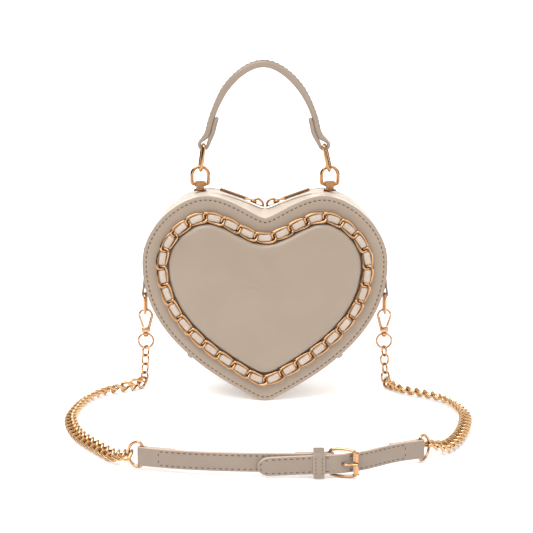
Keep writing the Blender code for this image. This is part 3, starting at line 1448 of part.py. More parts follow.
def build_buckle_frame(material):
    """The buckle's frame: a bent wire loop with a broad plate as its front bar."""
    heel = heel_spot()
    centre = Vector((heel.x, heel.y, strap_height()))
    ahead = Vector((math.cos(FRAME_SWING), -math.sin(FRAME_SWING), 0.0))
    corner = FRAME_CORNER
    half, length = FRAME_HALF, FRAME_LENGTH
    flat = [(0.0, -half + corner), (0.0, half - corner)]
    flat += arc((corner, half - corner), corner, math.pi, math.pi / 2, 2)[1:]
    flat += [(length / 2, half + FRAME_BOW)]
    flat += arc((length - corner, half - corner), corner, math.pi / 2, 0.0, 2)
    flat += arc((length - corner, -half + corner), corner, 0.0, -math.pi / 2, 2)
    flat += [(length / 2, -half - FRAME_BOW)]
    flat += arc((corner, -half + corner), corner, -math.pi / 2, -math.pi, 2)[:-1]
    normal = ahead.cross(Vector((0, 0, 1)))
    bm = bmesh.new()
    wire(bm, [centre + ahead * u + Vector((0, 0, v)) for u, v in flat], normal, FRAME_WIRE_R)
    frame = new_node("buckle_frame", bm, material)
    bm = bmesh.new()
    block(bm, centre + ahead * length, (BAR_HALF_LENGTH, BAR_T / 2, half - corner / 2), (ahead, normal, Vector((0, 0, 1))))
    return boolean(frame, new_node("buckle_plate_guide", bm, material), "UNION")


def build_prong(material):
    """The prong that pivots on the heel bar and rests on the front bar."""
    points = [place_in_plan(p, 0.0) for p in prong_line()]
    bm = bmesh.new()
    wire(bm, points, Vector((0, 0, 1)), PRONG_R, closed=False)
    return new_node("buckle_prong", bm, material)


def build_body(finish):
    """The box: panels, gussets, zip, linings, padded heart and trim."""
    for name, side in (("front", -1), ("back", 1)):
        build_panel(name + "_panel", side, finish["leather"])
        build_gusset(name + "_gusset", side, finish["cream"])
        build_zip_tape(name + "_zip_tape", side, finish["tape"])
        build_zip_teeth(name + "_zip_teeth", side, finish["teeth"])
        build_lining(name + "_lining", side, finish["lining"])
    build_bottom_gusset(finish["leather"])
    build_padded_heart(finish["leather"])
    build_trim_chain(finish["gold"])
    build_trim_lace(finish["lace"])


def build_side(side_name, hand, finish):
    """Everything that the bag has once on each side."""
    gold, leather = finish["gold"], finish["leather"]
    build_slider("zip_slider_" + side_name, hand, gold)
    build_pull("zip_pull_" + side_name, hand, gold)
    build_zip_end_tab("zip_end_tab_" + side_name, hand, leather)
    build_handle_post("handle_post_" + side_name, hand, gold)
    build_handle_ring("handle_ring_" + side_name, hand, gold)
    build_handle_link("handle_link_" + side_name, hand, gold)
    build_side_tab("side_tab_" + side_name, hand, leather)
    build_side_ring("side_ring_" + side_name, hand, gold)
    build_clasp_hook("clasp_hook_" + side_name, hand, gold)
    build_clasp_gate("clasp_gate_" + side_name, hand, gold)
    build_swivel_ring("swivel_ring_" + side_name, hand, gold)
    build_link_chain("link_chain_" + side_name, hand, gold)
    build_curb_chain("curb_chain_" + side_name, hand, gold)
    build_strap_ring("strap_ring_" + side_name, hand, gold)


def main():
    """Builds the whole handbag."""
    clear_scene()
    finish = palette()
    build_body(finish)
    for side_name, hand in (("left", -1), ("right", 1)):
        build_side(side_name, hand, finish)
    build_handle(finish["leather"])
    build_strap_left(finish["leather"])
    build_strap_right(finish["leather"])
    build_keeper(finish["leather"])
    build_buckle_frame(finish["gold"])
    build_prong(finish["gold"])


main()
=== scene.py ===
"""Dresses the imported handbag: leather, lace, zip, chains and metal fittings over the CAD frame.

Lengths are in metres. X runs to the viewer's right, Y from front to back, Z up.
"""

import math

import bmesh
import bpy
import numpy as np
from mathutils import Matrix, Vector

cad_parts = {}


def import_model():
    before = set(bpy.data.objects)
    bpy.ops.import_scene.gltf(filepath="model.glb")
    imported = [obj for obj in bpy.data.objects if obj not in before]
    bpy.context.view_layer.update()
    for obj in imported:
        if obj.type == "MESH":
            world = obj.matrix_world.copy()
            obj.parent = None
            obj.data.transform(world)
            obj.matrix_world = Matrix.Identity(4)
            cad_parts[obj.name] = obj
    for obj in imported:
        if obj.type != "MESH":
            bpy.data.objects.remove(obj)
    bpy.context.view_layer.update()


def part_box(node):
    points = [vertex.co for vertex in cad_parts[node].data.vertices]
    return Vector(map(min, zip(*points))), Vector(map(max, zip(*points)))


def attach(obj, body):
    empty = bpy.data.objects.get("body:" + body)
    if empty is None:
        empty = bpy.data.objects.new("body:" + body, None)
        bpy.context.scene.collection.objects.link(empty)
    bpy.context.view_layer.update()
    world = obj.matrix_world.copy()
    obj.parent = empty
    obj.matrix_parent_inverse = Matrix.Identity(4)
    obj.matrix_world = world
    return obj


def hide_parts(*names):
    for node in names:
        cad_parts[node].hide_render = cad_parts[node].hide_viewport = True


MM = 0.001

# Sizes that are the CAD part's own
GAP = 0.3 * MM
HALF_WIDTH = 100.0 * MM
BELLY_Z = 115.0 * MM
LOBE_X = 47.0 * MM
LOBE_Z = 170.0 * MM
NOTCH_Z = 151.7 * MM
ZIP_LOBE_Z = 169.3 * MM
ZIP_NOTCH_Z = 156.3 * MM
TIP_HALF = 4.0 * MM
TIP_LEAST_HALF = 0.6 * MM
NOTCH_ROUND = 6.0 * MM
NOTCH_EASE = 18.0 * MM
FLANK_UPPER = 58.0 * MM
FLANK_LOWER = 52.0 * MM
FLANK_SLOPE = math.radians(28.0)
LOBE_TOP_SHARE = 0.43
LOBE_SIDE_SHARE = 0.54
TIP_SOFTEN = 9.0 * MM
DEPTH = 65.0 * MM
PANEL_T = 3.0 * MM
GUSSET_T = 2.0 * MM
WALL_Y = DEPTH / 2 - PANEL_T - GAP
ZIP_SLOT_HALF = 1.8 * MM
ZIP_END_Z = 39.0 * MM
TAPE_WIDTH = 7.5 * MM
TAPE_T = 0.8 * MM
TEETH_SINK = 0.8 * MM
TEETH_H = 2.3 * MM
LINING_T = 0.8 * MM
LINING_CLEAR = 0.8 * MM
TRIM_INSET = 16.0 * MM
TRIM_LINKS = 33
TRIM_WIRE_R = 1.0 * MM
TRIM_TWIST = 1.2 * MM
LACE_T = 0.6 * MM
LACE_CLEAR = 0.2 * MM
PAD_EDGE = 1.6 * MM
PAD_CROWN = 8.0 * MM
SLIDER_LENGTH = 12.0 * MM
SLIDER_HALF = 4.2 * MM
SLIDER_H = 1.5 * MM
SLIDER_FROM_CENTRE = 7.4 * MM
SLIDER_TRAVEL = 12.0 * MM
BRIDGE_WIRE_R = 0.7 * MM
BRIDGE_RISE = 4.6 * MM
BRIDGE_HALF_SPAN = 3.6 * MM
PULL_SEAT = math.radians(22.0)
PULL_LENGTH = 29.5 * MM
PULL_HALF_WIDTH = 1.7 * MM
PULL_T = 2.4 * MM
PULL_SLOPE = math.radians(19.4)
PULL_EYE_R = 2.0 * MM
PULL_EYE_WIRE_R = 0.8 * MM
END_TAB_HALF = 2.6 * MM
END_TAB_DEPTH_HALF = 7.0 * MM
END_TAB_REACH = 6.0 * MM
HANDLE_X = 54.3 * MM
HANDLE_Y = 14.0 * MM
POST_FLANGE_HALF = 5.4 * MM
POST_FLANGE_T = 1.0 * MM
POST_HALF_X = 4.8 * MM
POST_HALF_Y = 3.4 * MM
POST_PIN_Z = 5.6 * MM
POST_H = 7.8 * MM
PIN_R = 1.0 * MM
PIN_LENGTH = 2.4 * MM
RING_WIRE_R = 1.25 * MM
RING_HALF = 6.9 * MM
RING_RISE = 14.4 * MM
RING_CORNER = 1.8 * MM
LINK_WIRE_R = 1.4 * MM
LINK_HALF_LENGTH = 10.8 * MM
LINK_HALF_WIDTH = 4.1 * MM
LINK_CORNER = 2.4 * MM
LINK_LEAN_LEFT = math.radians(8.0)
LINK_LEAN_RIGHT = math.radians(12.5)
LINK_TURN = math.radians(11.0)
HANDLE_KNOT_SHARES = (
    (-0.481, 0.130), (-0.452, 0.275), (-0.418, 0.411), (-0.375, 0.545), (-0.321, 0.674), (-0.230, 0.813),
    (-0.120, 0.915), (-0.018, 0.950), (0.088, 0.918), (0.200, 0.813), (0.291, 0.674), (0.348, 0.545),
    (0.392, 0.411), (0.425, 0.275), (0.451, 0.130),
)
HANDLE_SPAN = 100.0 * MM
HANDLE_RISE = 70.5 * MM
HANDLE_T = 5.0 * MM
HANDLE_BACK_T = 3.6 * MM
HANDLE_HALF = 5.5 * MM
HANDLE_LOOP_HALF = 2.0 * MM
HANDLE_LOOP_CLEAR = 0.4 * MM
HANDLE_TAPER = 26.0 * MM
HANDLE_THIN_LENGTH = 7.0 * MM
HANDLE_FOLD_BACK = 25.0 * MM
HANDLE_BULGE = 1.0 * MM
HANDLE_EASE = 8.0 * MM
SIDE_Y = 12.0 * MM
SIDE_RING_TOP_Z = 82.2 * MM
SIDE_TAB_TOP_Z = 121.0 * MM
SIDE_TAB_T = 1.4 * MM
SIDE_TAB_HALF = 4.3 * MM
SIDE_TAB_BULGE = 0.9 * MM
SIDE_RING_WIRE_R = 1.2 * MM
SIDE_RING_H = 16.2 * MM
SIDE_RING_HALF = 7.2 * MM
SIDE_RING_CORNER = 2.8 * MM
HOOK_WIRE_R = 0.95 * MM
HOOK_TOP_R = 5.3 * MM
HOOK_NECK_HALF = 2.5 * MM
HOOK_H = 15.0 * MM
GATE_SHARE = 0.5
GATE_CLEAR = 1.7 * MM
NECK_HALF = 3.7 * MM
NECK_DEPTH_HALF = 2.4 * MM
NECK_H = 4.8 * MM
SWIVEL_POST_R = 0.9 * MM
RIVET_R = 2.0 * MM
RIVET_H = 1.3 * MM
SWIVEL_WIRE_R = 0.8 * MM
SWIVEL_R = 6.3 * MM
BOSS_R = 2.3 * MM
BOSS_H = 2.1 * MM
LINK4_COUNT = 4
SMALL_WIRE_R = 0.8 * MM
SMALL_HALF_WIDTH = 3.6 * MM
SMALL_GRIP = 0.25 * MM
DROP_LEAN_X = 1.7 * MM
DROP_LEAN_Y = 0.8 * MM
CURB_WIRE_R = 1.1 * MM
CURB_HALF_WIDTH = 4.15 * MM
CURB_PITCH = 8.75 * MM
CURB_GRIP = 0.3 * MM
CURB_ROLL_LENGTH = 35.0 * MM
CURB_ROLL = math.radians(60.0)
CURB_END_ROLL = math.radians(75.0)
CURB_RISE_LENGTH = 30.0 * MM
CURB_LEAD = 5.0 * MM
CURB_TWIST_STEP = 0.5
FLOOR_CLEAR = 0.2 * MM
LOOP_REACH = 243.0 * MM
LOOP_SIDE = 155.0 * MM
LEFT_CHAIN_SHARES = (
    (-0.729, -0.006), (-0.845, -0.062), (-0.932, -0.173), (-0.970, -0.333),
    (-0.965, -0.465), (-0.897, -0.626), (-0.774, -0.770),
)
RIGHT_CHAIN_SHARES = (
    (0.726, -0.041), (0.839, -0.105), (0.948, -0.189), (1.003, -0.321),
    (1.003, -0.444), (0.939, -0.626), (0.855, -0.749),
)
STRAP_LEFT_SHARES = ((-0.555, -0.940), (-0.380, -0.972), (-0.190, -0.991))
STRAP_RIGHT_SHARES = ((0.437, -0.979), (0.565, -0.915), (0.640, -0.886), (0.712, -0.868))
TIP_SHARE = -0.034
KEEPER_SHARE = 0.2378
HEEL_SHARE = 0.286
LEFT_RING_TURN = math.radians(160.0)
RIGHT_RING_TURN = math.radians(47.0)
STRAP_T = 2.4 * MM
STRAP_HALF = 6.8 * MM
STRAP_FOLD_T = 1.8 * MM
STRAP_FOLD_BACK = 24.0 * MM
STRAP_FOLD_EASE = 4.5 * MM
STRAP_LAYER_GAP = 0.35 * MM
STRAP_TIP = 9.0 * MM
STRAP_STEP = 9.0 * MM
STRAP_RING_WIRE_R = 1.0 * MM
STRAP_RING_HALF = 8.9 * MM
STRAP_RING_LIFT = 0.6 * MM
STRAP_RING_DEPTH = 10.5 * MM
KEEPER_LENGTH = 7.7 * MM
KEEPER_T = 1.3 * MM
KEEPER_TILT = 0.8 * MM
TAIL_SAG = 2.3 * MM
FRAME_WIRE_R = 1.1 * MM
FRAME_HALF = 9.0 * MM
FRAME_BOW = 0.6 * MM
FRAME_LENGTH = 18.6 * MM
FRAME_CORNER = 2.5 * MM
FRAME_SWING = math.radians(17.0)
BAR_HALF_LENGTH = 2.3 * MM
BAR_T = 2.6 * MM
PRONG_R = 0.95 * MM
PRONG_CROSS = 8.8 * MM
PRONG_RUN = 3.4 * MM
PRONG_TIP_SHARE = 0.9
HOLE_HALF = 1.4 * MM

# Sizes of the dressed pieces that the CAD part has not, or has with another value
TRIM_HALF_WIDTH = 5.0 * MM
TRIM_LAP = 1.5 * MM
TRIM_LINK_R = 1.05 * MM
TRIM_TURN = 1.0 * MM
TRIM_SLANT_SHIFT = 0.7 * MM
TRIM_PINCH = 0.14
TRIM_SQUARE = 0.62
LACE_HALF = 2.9 * MM
LACE_LOW_HALF = 1.9 * MM
LACE_RISE = 4.5 * MM
BRIDGE_STRETCH = 1.5
HANDLE_END_T = 2.9 * MM
HANDLE_NESTLE = 0.15 * MM
HANDLE_PLUMP = 1.3 * MM
HANDLE_PLUMP_LENGTH = 34.0 * MM
HUG_STEPS = 5
SIDE_TAB_FLAT_T = 0.9 * MM
CURB_FULL_TWIST = 1.75 * MM
CURB_FULL_WIRE_R = 1.25 * MM
SLIDER_SEAT = 0.66 * MM
SLIDER_SOLE = 0.8 * MM
BRIDGE_THICKEN = 1.5
EYE_THICKEN = 1.2
PULL_FULLER = 0.15 * MM
PULL_SLOT_DEPTH = 0.8 * MM
# Radius of the dark wire painted as shade in each of the pull's channels.
PULL_SLOT_SHADE_R = 0.42 * MM
RING_SWELL = 0.25
LINK_SWELL = 0.2
SIDE_RING_SWELL = 0.1
HOOK_SWELL = 0.25
SWELL_FROM = 0.8
SWELL_OVER = 3.0 * MM
SWIVEL_THICKEN = 1.15
TAB_FLAT_FROM = 6.0 * MM
TAB_FLAT_OVER = 10.0 * MM
NECK_ROUND = 1.1 * MM
GATE_PIVOT = 2.5 * MM
STRAP_RING_THICKEN = 1.1
STRAP_BOW = 0.9985
KEEPER_ROUND = 1.3 * MM
HOOK_END_ANGLE = math.radians(20.0)
PRONG_EYE_SHARE = 0.3
PRONG_EYE_SLIM = 0.87
PRONG_TAPER_FROM = 0.72
FINE_LOOP = 1201
SOFT_LOOP = 721
GATE_START_SHARE = 0.9
TRIM_STEPS = 24
TRIM_LINK_POINTS = 40
PUFF_HALF = 9.6
PUFF_EASE = 2.2
LINK_SQUARE = 0.82
PAD_BACK_DRAW = 0.3
PAD_RIM_SHARE = 0.4
PAD_HELD_SHARE = 0.6
PAD_SWELL_CAP = 1.2 * MM
PAD_PRESSURE = 2.0
PAD_STIFFNESS = 40.0
PAD_BENDING = 8.0
PAD_FRAMES = 20
TIP_ROUND_HEIGHT = 24.0 * MM
TIP_ROUND_POINTS = 7
EDGE_MARKS = (0, 1, 1, 1, 1, 1, 0, 0) * 2

# Sewing and the zip's coil
STITCH_PITCH = 4.1 * MM
PANEL_PITCH = 4.0 * MM
STITCH_LENGTH = 2.5 * MM
STITCH_R = 0.35 * MM
PANEL_STITCH_FULLER = 1.3
HANDLE_STITCH_FULLER = 0.8
PANEL_STITCH_INSET = 3.2 * MM
STRAP_STITCH_INSET = 2.0 * MM
HANDLE_STITCH_INSET = 1.9 * MM
STRAP_SEAM = 13.5 * MM
STRAP_SEAM_END = 6.0 * MM
TAIL_SEAM_STOP = 50.0 * MM
TAIL_SEAM_AGAIN = 62.0 * MM
CROSS_SEAM_IN = 1.5 * MM
CROSS_STITCH_SHARE = 0.85
END_TAB_STITCH_LENGTH = 1.5 * MM
END_TAB_STITCH_R = 0.22 * MM
KEEPER_STITCH_R = 0.24 * MM
HANDLE_SEAM = 12.0 * MM
FINE_PITCH = 2.6 * MM
FINE_LENGTH = 1.7 * MM
FINE_R = 0.2 * MM
GUSSET_SEAM_Y = 4.4 * MM
TAB_SEAM_START = 17.0 * MM
TOOTH_PITCH = 1.5 * MM

# Light, surroundings and the camera, fitted to the photograph
# How far the painted shade on the metals reaches from nearby surfaces.
HOLLOW_SHADE_REACH = 4.0 * MM
SKY_STRENGTH = 0.66
SKY_STOPS = ((0.0, 0.2), (0.5, 0.06), (0.64, 0.06), (0.72, 0.4), (0.8, 1.3), (0.92, 1.3), (1.0, 0.8))
FLOOR_FADE = {"From Min": -1.3, "From Max": -0.65, "To Min": 0.5, "To Max": 0.95}
FLOOR_GLOW = 0.35
FLOOR_REACH = 6.0
SWEEP_FROM = 3.0
SWEEP_TOP = 4.0
LIGHTS = (
    ("key_light", (-0.5, -0.75, 1.3), 45.0, 2.0),
    ("fill_light", (0.9, -1.2, 0.7), 60.0, 0.8),
)
CAMERA_SPOT = (0.000456, -1.205366, 0.302113)
CAMERA_DOWN = 0.1603
CAMERA_SHIFT = 0.0018
FOCAL_PIXELS = 1459.18
PHOTO_PIXELS = 533
SENSOR = 36.0

ACROSS, BACK, UP = Vector((1, 0, 0)), Vector((0, 1, 0)), Vector((0, 0, 1))
SIDES = (("left", -1), ("right", 1))
KINDS = {"leather", "cloth", "metal", "wire", "links", "body", "bar"}
LOOKS = {}


def clamp(value):
    """Keeps a value between 0 and 1."""
    return min(1.0, max(0.0, value))


def smooth_step(share):
    """Eases from 0 to 1."""
    share = clamp(share)
    return share * share * (3 - 2 * share)


def mix(a, b, share):
    """The value at a share of the way from a to b."""
    return a + (b - a) * share


def mix_spot(a, b, share):
    """The point at a share of the way between two points of a plane."""
    return mix(a[0], b[0], share), mix(a[1], b[1], share)


def length_of(line):
    """Length of an open line."""
    return sum((b - a).length for a, b in zip(line, line[1:]))


def rows_between(values, steps):
    """A smooth row of values through the given ones, spaced by the chords of the first parts."""
    known = [np.array(v, float) for v in values]
    count = len(known)
    span = len(known[0]) if len(known[0]) <= 3 else 2

    def chord(a, b):
        return max(float(np.linalg.norm(a[:span] - b[:span])), 1e-9)

    row = []
    for i in range(count - 1):
        b, c = known[i], known[i + 1]
        a = known[i - 1] if i else 2 * b - c
        d = known[i + 2] if i + 2 < count else 2 * c - b
        h = chord(b, c)
        start = (c - a) * h / (chord(a, b) + h)
        end = (d - b) * h / (chord(c, d) + h)
        for k in range(steps):
            t = k / steps
            row.append((2 * t ** 3 - 3 * t * t + 1) * b + (t ** 3 - 2 * t * t + t) * start
                       + (3 * t * t - 2 * t ** 3) * c + (t ** 3 - t * t) * end)
    row.append(known[-1])
    return row


class Shape:
    """Collects the skins and wires of one piece, with a finish number for each face."""

    def __init__(self):
        self.points, self.faces, self.marks = [], [], []

    def skin(self, rings, joined=False, marks=None, cap_mark=0):
        """Lofts rings of equal length; marks gives the finish of each side of the ring."""
        base, width, first = len(self.points), len(rings[0]), len(self.faces)
        for ring in rings:
            self.points.extend(tuple(p) for p in ring)
        pairs = [(i, i + 1) for i in range(len(rings) - 1)]
        if joined:
            pairs.append((len(rings) - 1, 0))
        for low, high in pairs:
            for k in range(width):
                after = (k + 1) % width
                self.faces.append((base + low * width + k, base + low * width + after,
                                   base + high * width + after, base + high * width + k))
                self.marks.append(marks[k] if marks else cap_mark)
        if not joined:
            last = base + (len(rings) - 1) * width
            self.faces.append(tuple(base + k for k in reversed(range(width))))
            self.faces.append(tuple(last + k for k in range(width)))
            self.marks += [cap_mark, cap_mark]
        self.turn_outward(first)

    def turn_outward(self, first):
        """Turns the newest closed skin's faces outward."""
        spots = np.array(self.points[min(min(f) for f in self.faces[first:]):])
        shift = len(self.points) - len(spots)
        spots = spots - spots.mean(axis=0)
        volume = 0.0
        for face in self.faces[first:]:
            corners = spots[np.array(face) - shift]
            volume += float(np.sum(corners[0] * np.cross(corners[1:-1], corners[2:])))
        if volume < 0:
            self.faces[first:] = [face[::-1] for face in self.faces[first:]]

    def wire(self, points, radius, normal, sides=10, closed=True, mark=0):
        """A round wire along points near a plane; radius is one number or one for each point."""
        line = [Vector(p) for p in points]
        count = len(line)
        normal = Vector(normal)
        turns = [math.tau * k / sides for k in range(sides)]
        rings = []
        for i, point in enumerate(line):
            before = line[i - 1] if closed or i else line[0]
            after = line[(i + 1) % count] if closed or i < count - 1 else line[-1]
            along = (after - before).normalized()
            outward = along.cross(normal).normalized()
            upward = outward.cross(along)
            r = radius[i] if isinstance(radius, (list, tuple)) else radius
            rings.append([point + (outward * math.cos(t) + upward * math.sin(t)) * r for t in turns])
        self.skin(rings, joined=closed, cap_mark=mark)

    def turned(self, base, axis, profile, sides=20):
        """A turned piece: profile lists (distance along axis, radius) from base."""
        axis = Vector(axis).normalized()
        side = axis.orthogonal().normalized()
        other = axis.cross(side)
        turns = [math.tau * k / sides for k in range(sides)]
        self.skin([[Vector(base) + axis * distance + (side * math.cos(t) + other * math.sin(t)) * radius
                    for t in turns] for distance, radius in profile])

    def dash(self, centre, along, out, length, radius, mark):
        """One stitch: a short thread that dips into the leather at both ends."""
        side = along.cross(out).normalized()
        turns = [math.tau * k / 6 for k in range(6)]
        rings = []
        for share, size in ((-0.5, 0.35), (-0.28, 1.0), (0.28, 1.0), (0.5, 0.35)):
            middle = centre + along * (length * share) - out * (radius * (1 - size))
            rings.append([middle + (side * math.cos(t) + out * (0.8 * math.sin(t))) * radius * size
                          for t in turns])
        self.skin(rings, cap_mark=mark)

    def piece(self, name, body, finishes, stands_for=None, seam=35.0):
        """Makes the object, lets it ride on its body and take the place of CAD nodes.

        Unless stands_for names them, the node has the piece's name without the word for its kind.
        """
        mesh = bpy.data.meshes.new(name)
        mesh.from_pydata(self.points, [], self.faces)
        for finish in finishes.split():
            mesh.materials.append(LOOKS[finish])
        mesh.polygons.foreach_set("material_index", self.marks)
        mesh.shade_smooth()
        mesh.set_sharp_from_angle(angle=math.radians(seam))
        made = bpy.data.objects.new(name, mesh)
        bpy.context.scene.collection.objects.link(made)
        if stands_for is None:
            stands_for = ["_".join(word for word in name.split("_") if word not in KINDS)]
        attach(made, body)
        if stands_for:
            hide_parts(*stands_for)
        return made


def new_finish(name):
    """An empty Principled material and its node tools."""
    material = bpy.data.materials.new(name)
    material.use_nodes = True
    tree = material.node_tree
    return material, tree, tree.nodes["Principled BSDF"]


def add_node(tree, kind, sockets=(), **settings):
    """Adds a shader node and sets its sockets and properties by name."""
    made = tree.nodes.new("ShaderNode" + kind)
    preset(made, sockets)
    for key, value in settings.items():
        if key in made.inputs:
            made.inputs[key].default_value = value
        else:
            setattr(made, key, value)
    return made


def preset(node, sockets):
    """Sets constant inputs of a node."""
    for key, value in dict(sockets).items():
        node.inputs[key].default_value = value


def join(tree, *routes):
    """Links nodes: each route is (from node, output, to node, input)."""
    for source, out, target, into in routes:
        tree.links.new(source.outputs[out], target.inputs[into])


def colour_field(tree, shader, first, second, scale):
    """Cloudy colour between two tones across the object."""
    place = add_node(tree, "TexCoord")
    noise = add_node(tree, "TexNoise", Scale=scale, Detail=3.0)
    ramp = add_node(tree, "ValToRGB")
    for element, position, tone in zip(ramp.color_ramp.elements, (0.35, 0.65), (first, second)):
        element.position, element.color = position, (*tone, 1.0)
    join(tree, (place, "Object", noise, "Vector"), (noise, "Fac", ramp, "Fac"),
         (ramp, "Color", shader, "Base Color"))
    return place, ramp


def roughness_field(tree, shader, place, scale, low, high):
    """Roughness that varies between two values."""
    noise = add_node(tree, "TexNoise", Scale=scale, Detail=2.0)
    spread = add_node(tree, "MapRange", {"From Min": 0.3, "From Max": 0.7, "To Min": low, "To Max": high})
    join(tree, (place, "Object", noise, "Vector"), (noise, "Fac", spread, "Value"),
         (spread, "Result", shader, "Roughness"))


def leather(name, first, second, grain=1500.0, depth=0.03, rough=(0.36, 0.46), strength=0.5, coat=0.0):
    """Coated leather: pebbled grain with fine creases between the cells, its depth in millimetres."""
    material, tree, shader = new_finish(name)
    place, _ = colour_field(tree, shader, first, second, 26.0)
    roughness_field(tree, shader, place, 90.0, *rough)
    cells = add_node(tree, "TexVoronoi", Scale=grain, feature="DISTANCE_TO_EDGE")
    crease = add_node(tree, "MapRange", {"From Max": 0.22})
    wrinkle = add_node(tree, "TexNoise", Scale=grain * 0.22, Detail=4.0)
    mixed = add_node(tree, "Math", {1: 0.8}, operation="MULTIPLY_ADD")
    bump = add_node(tree, "Bump", Strength=strength, Distance=depth * MM)
    join(tree, (place, "Object", cells, "Vector"), (place, "Object", wrinkle, "Vector"),
         (cells, "Distance", crease, "Value"), (crease, "Result", mixed, 0), (wrinkle, "Fac", mixed, 2),
         (mixed, "Value", bump, "Height"), (bump, "Normal", shader, "Normal"))
    preset(shader, {"Specular IOR Level": 0.45, "Coat Weight": coat, "Coat Roughness": 0.3})
    return material


def metal(name, first, second, hollow_shade, rough=(0.1, 0.2)):
    """Polished plating: faint waves, hairlines, uneven polish, and painted shade: the base colour darkens towards
    the given shade colour in hollows and near other surfaces.
    """
    material, tree, shader = new_finish(name)
    place, ramp = colour_field(tree, shader, first, second, 160.0)
    roughness_field(tree, shader, place, 420.0, *rough)
    # Painted shade: ambient occlusion turns the base colour towards the dark shade colour wherever other surfaces
    # are near.
    near = add_node(tree, "AmbientOcclusion", samples=8, Distance=HOLLOW_SHADE_REACH)
    spread = add_node(tree, "MapRange", {"From Min": 0.2, "From Max": 0.88})
    tone = add_node(tree, "Mix", data_type="RGBA")
    preset(tone, {6: (*hollow_shade, 1.0)})
    hair = add_node(tree, "TexNoise", Scale=900.0, Detail=3.0)
    bump = add_node(tree, "Bump", Strength=0.12, Distance=0.02 * MM)
    join(tree, (near, "AO", spread, "Value"), (spread, "Result", tone, 0), (ramp, "Color", tone, 7),
         (tone, 2, shader, "Base Color"), (place, "Object", hair, "Vector"), (hair, "Fac", bump, "Height"),
         (bump, "Normal", shader, "Normal"))
    preset(shader, {"Metallic": 1.0})
    return material


def cloth(name, first, second, weave=2600.0, depth=0.08):
    """Plain woven cloth: two crossed sets of threads, their depth in millimetres."""
    material, tree, shader = new_finish(name)
    place, _ = colour_field(tree, shader, first, second, 70.0)
    roughness_field(tree, shader, place, 300.0, 0.75, 0.9)
    mixed = add_node(tree, "Math", operation="MULTIPLY")
    for slot, direction in enumerate(("X", "Z")):
        threads = add_node(tree, "TexWave", Scale=weave / math.tau, Distortion=0.4, bands_direction=direction)
        join(tree, (place, "Object", threads, "Vector"), (threads, "Fac", mixed, slot))
    bump = add_node(tree, "Bump", Strength=0.6, Distance=depth * MM)
    join(tree, (mixed, "Value", bump, "Height"), (bump, "Normal", shader, "Normal"))
    preset(shader, {"Sheen Weight": 0.25})
    return material


def finishes():
    """Every finish on the bag, by a short name: the maker, the material's name, two tones and the rest."""
    made = {}
    for key, make, name, *rest in (
        ("taupe", leather, "taupe_leather", (0.358, 0.278, 0.213), (0.386, 0.300, 0.232)),
        ("pad", leather, "pad_leather", (0.345, 0.268, 0.205), (0.362, 0.284, 0.219),
         1700.0, 0.012, (0.30, 0.38), 0.35, 0.15),
        ("strap", leather, "strap_leather", (0.285, 0.222, 0.173), (0.315, 0.247, 0.195),
         1300.0, 0.04, (0.38, 0.5)),
        ("cream", leather, "cream_leather", (0.66, 0.54, 0.425), (0.72, 0.60, 0.485),
         1500.0, 0.02, (0.34, 0.44)),
        ("lace", leather, "lace_leather", (0.50, 0.41, 0.335), (0.57, 0.475, 0.395),
         1100.0, 0.05, (0.4, 0.55), 0.7),
        ("edge", leather, "edge_paint", (0.56, 0.41, 0.31), (0.64, 0.48, 0.38),
         700.0, 0.01, (0.28, 0.36), 0.3, 0.3),
        # For the metals the third colour is painted shade, mixed into the base colour in hollows and near other
        # surfaces.
        ("gold", metal, "rose_gold", (0.55, 0.30, 0.14), (0.65, 0.372, 0.185), (0.11, 0.042, 0.018)),
        ("pale_gold", metal, "pale_gold", (0.58, 0.325, 0.165), (0.68, 0.40, 0.225), (0.14, 0.06, 0.028)),
        ("chain_gold", metal, "chain_gold", (0.62, 0.365, 0.17), (0.72, 0.445, 0.225), (0.16, 0.07, 0.026)),
        ("coil", metal, "zip_coil", (0.50, 0.27, 0.13), (0.62, 0.36, 0.19), (0.14, 0.07, 0.03), (0.25, 0.38)),
        # The dark thread finish also serves as the painted shade in the zip pulls' channels.
        ("thread", cloth, "thread", (0.075, 0.05, 0.035), (0.11, 0.078, 0.055), 9000.0, 0.03),
        ("cream_thread", cloth, "cream_thread", (0.66, 0.54, 0.43), (0.72, 0.60, 0.48), 9000.0, 0.03),
        ("tape", cloth, "zip_tape", (0.55, 0.42, 0.31), (0.62, 0.49, 0.37)),
        ("lining", cloth, "lining_cloth", (0.30, 0.23, 0.17), (0.36, 0.28, 0.21)),
    ):
        made[key] = make(name, *rest)
    return made


def bezier(a, b, c, d, steps=60):
    """Points on a cubic curve in two coordinates, without its last point."""
    points = []
    for k in range(steps):
        t, s = k / steps, 1 - k / steps
        points.append(tuple(s ** 3 * a[i] + 3 * s * s * t * b[i] + 3 * s * t * t * c[i] + t ** 3 * d[i]
                            for i in (0, 1)))
    return points


def arc(centre, radius, start, end, steps):
    """Points on an arc in two coordinates, angles in radians."""
    return [(centre[0] + radius * math.cos(start + (end - start) * k / steps),
             centre[1] + radius * math.sin(start + (end - start) * k / steps)) for k in range(steps + 1)]


def rounded(a, b, r, steps=3):
    """A rounded rectangle in two coordinates, of half sizes a and b and corner radius r."""
    loop = []
    for quarter, corner in enumerate(((a - r, b - r), (-a + r, b - r), (-a + r, -b + r), (a - r, -b + r))):
        loop += arc(corner, r, math.pi / 2 * quarter, math.pi / 2 * (quarter + 1), steps)
    return loop


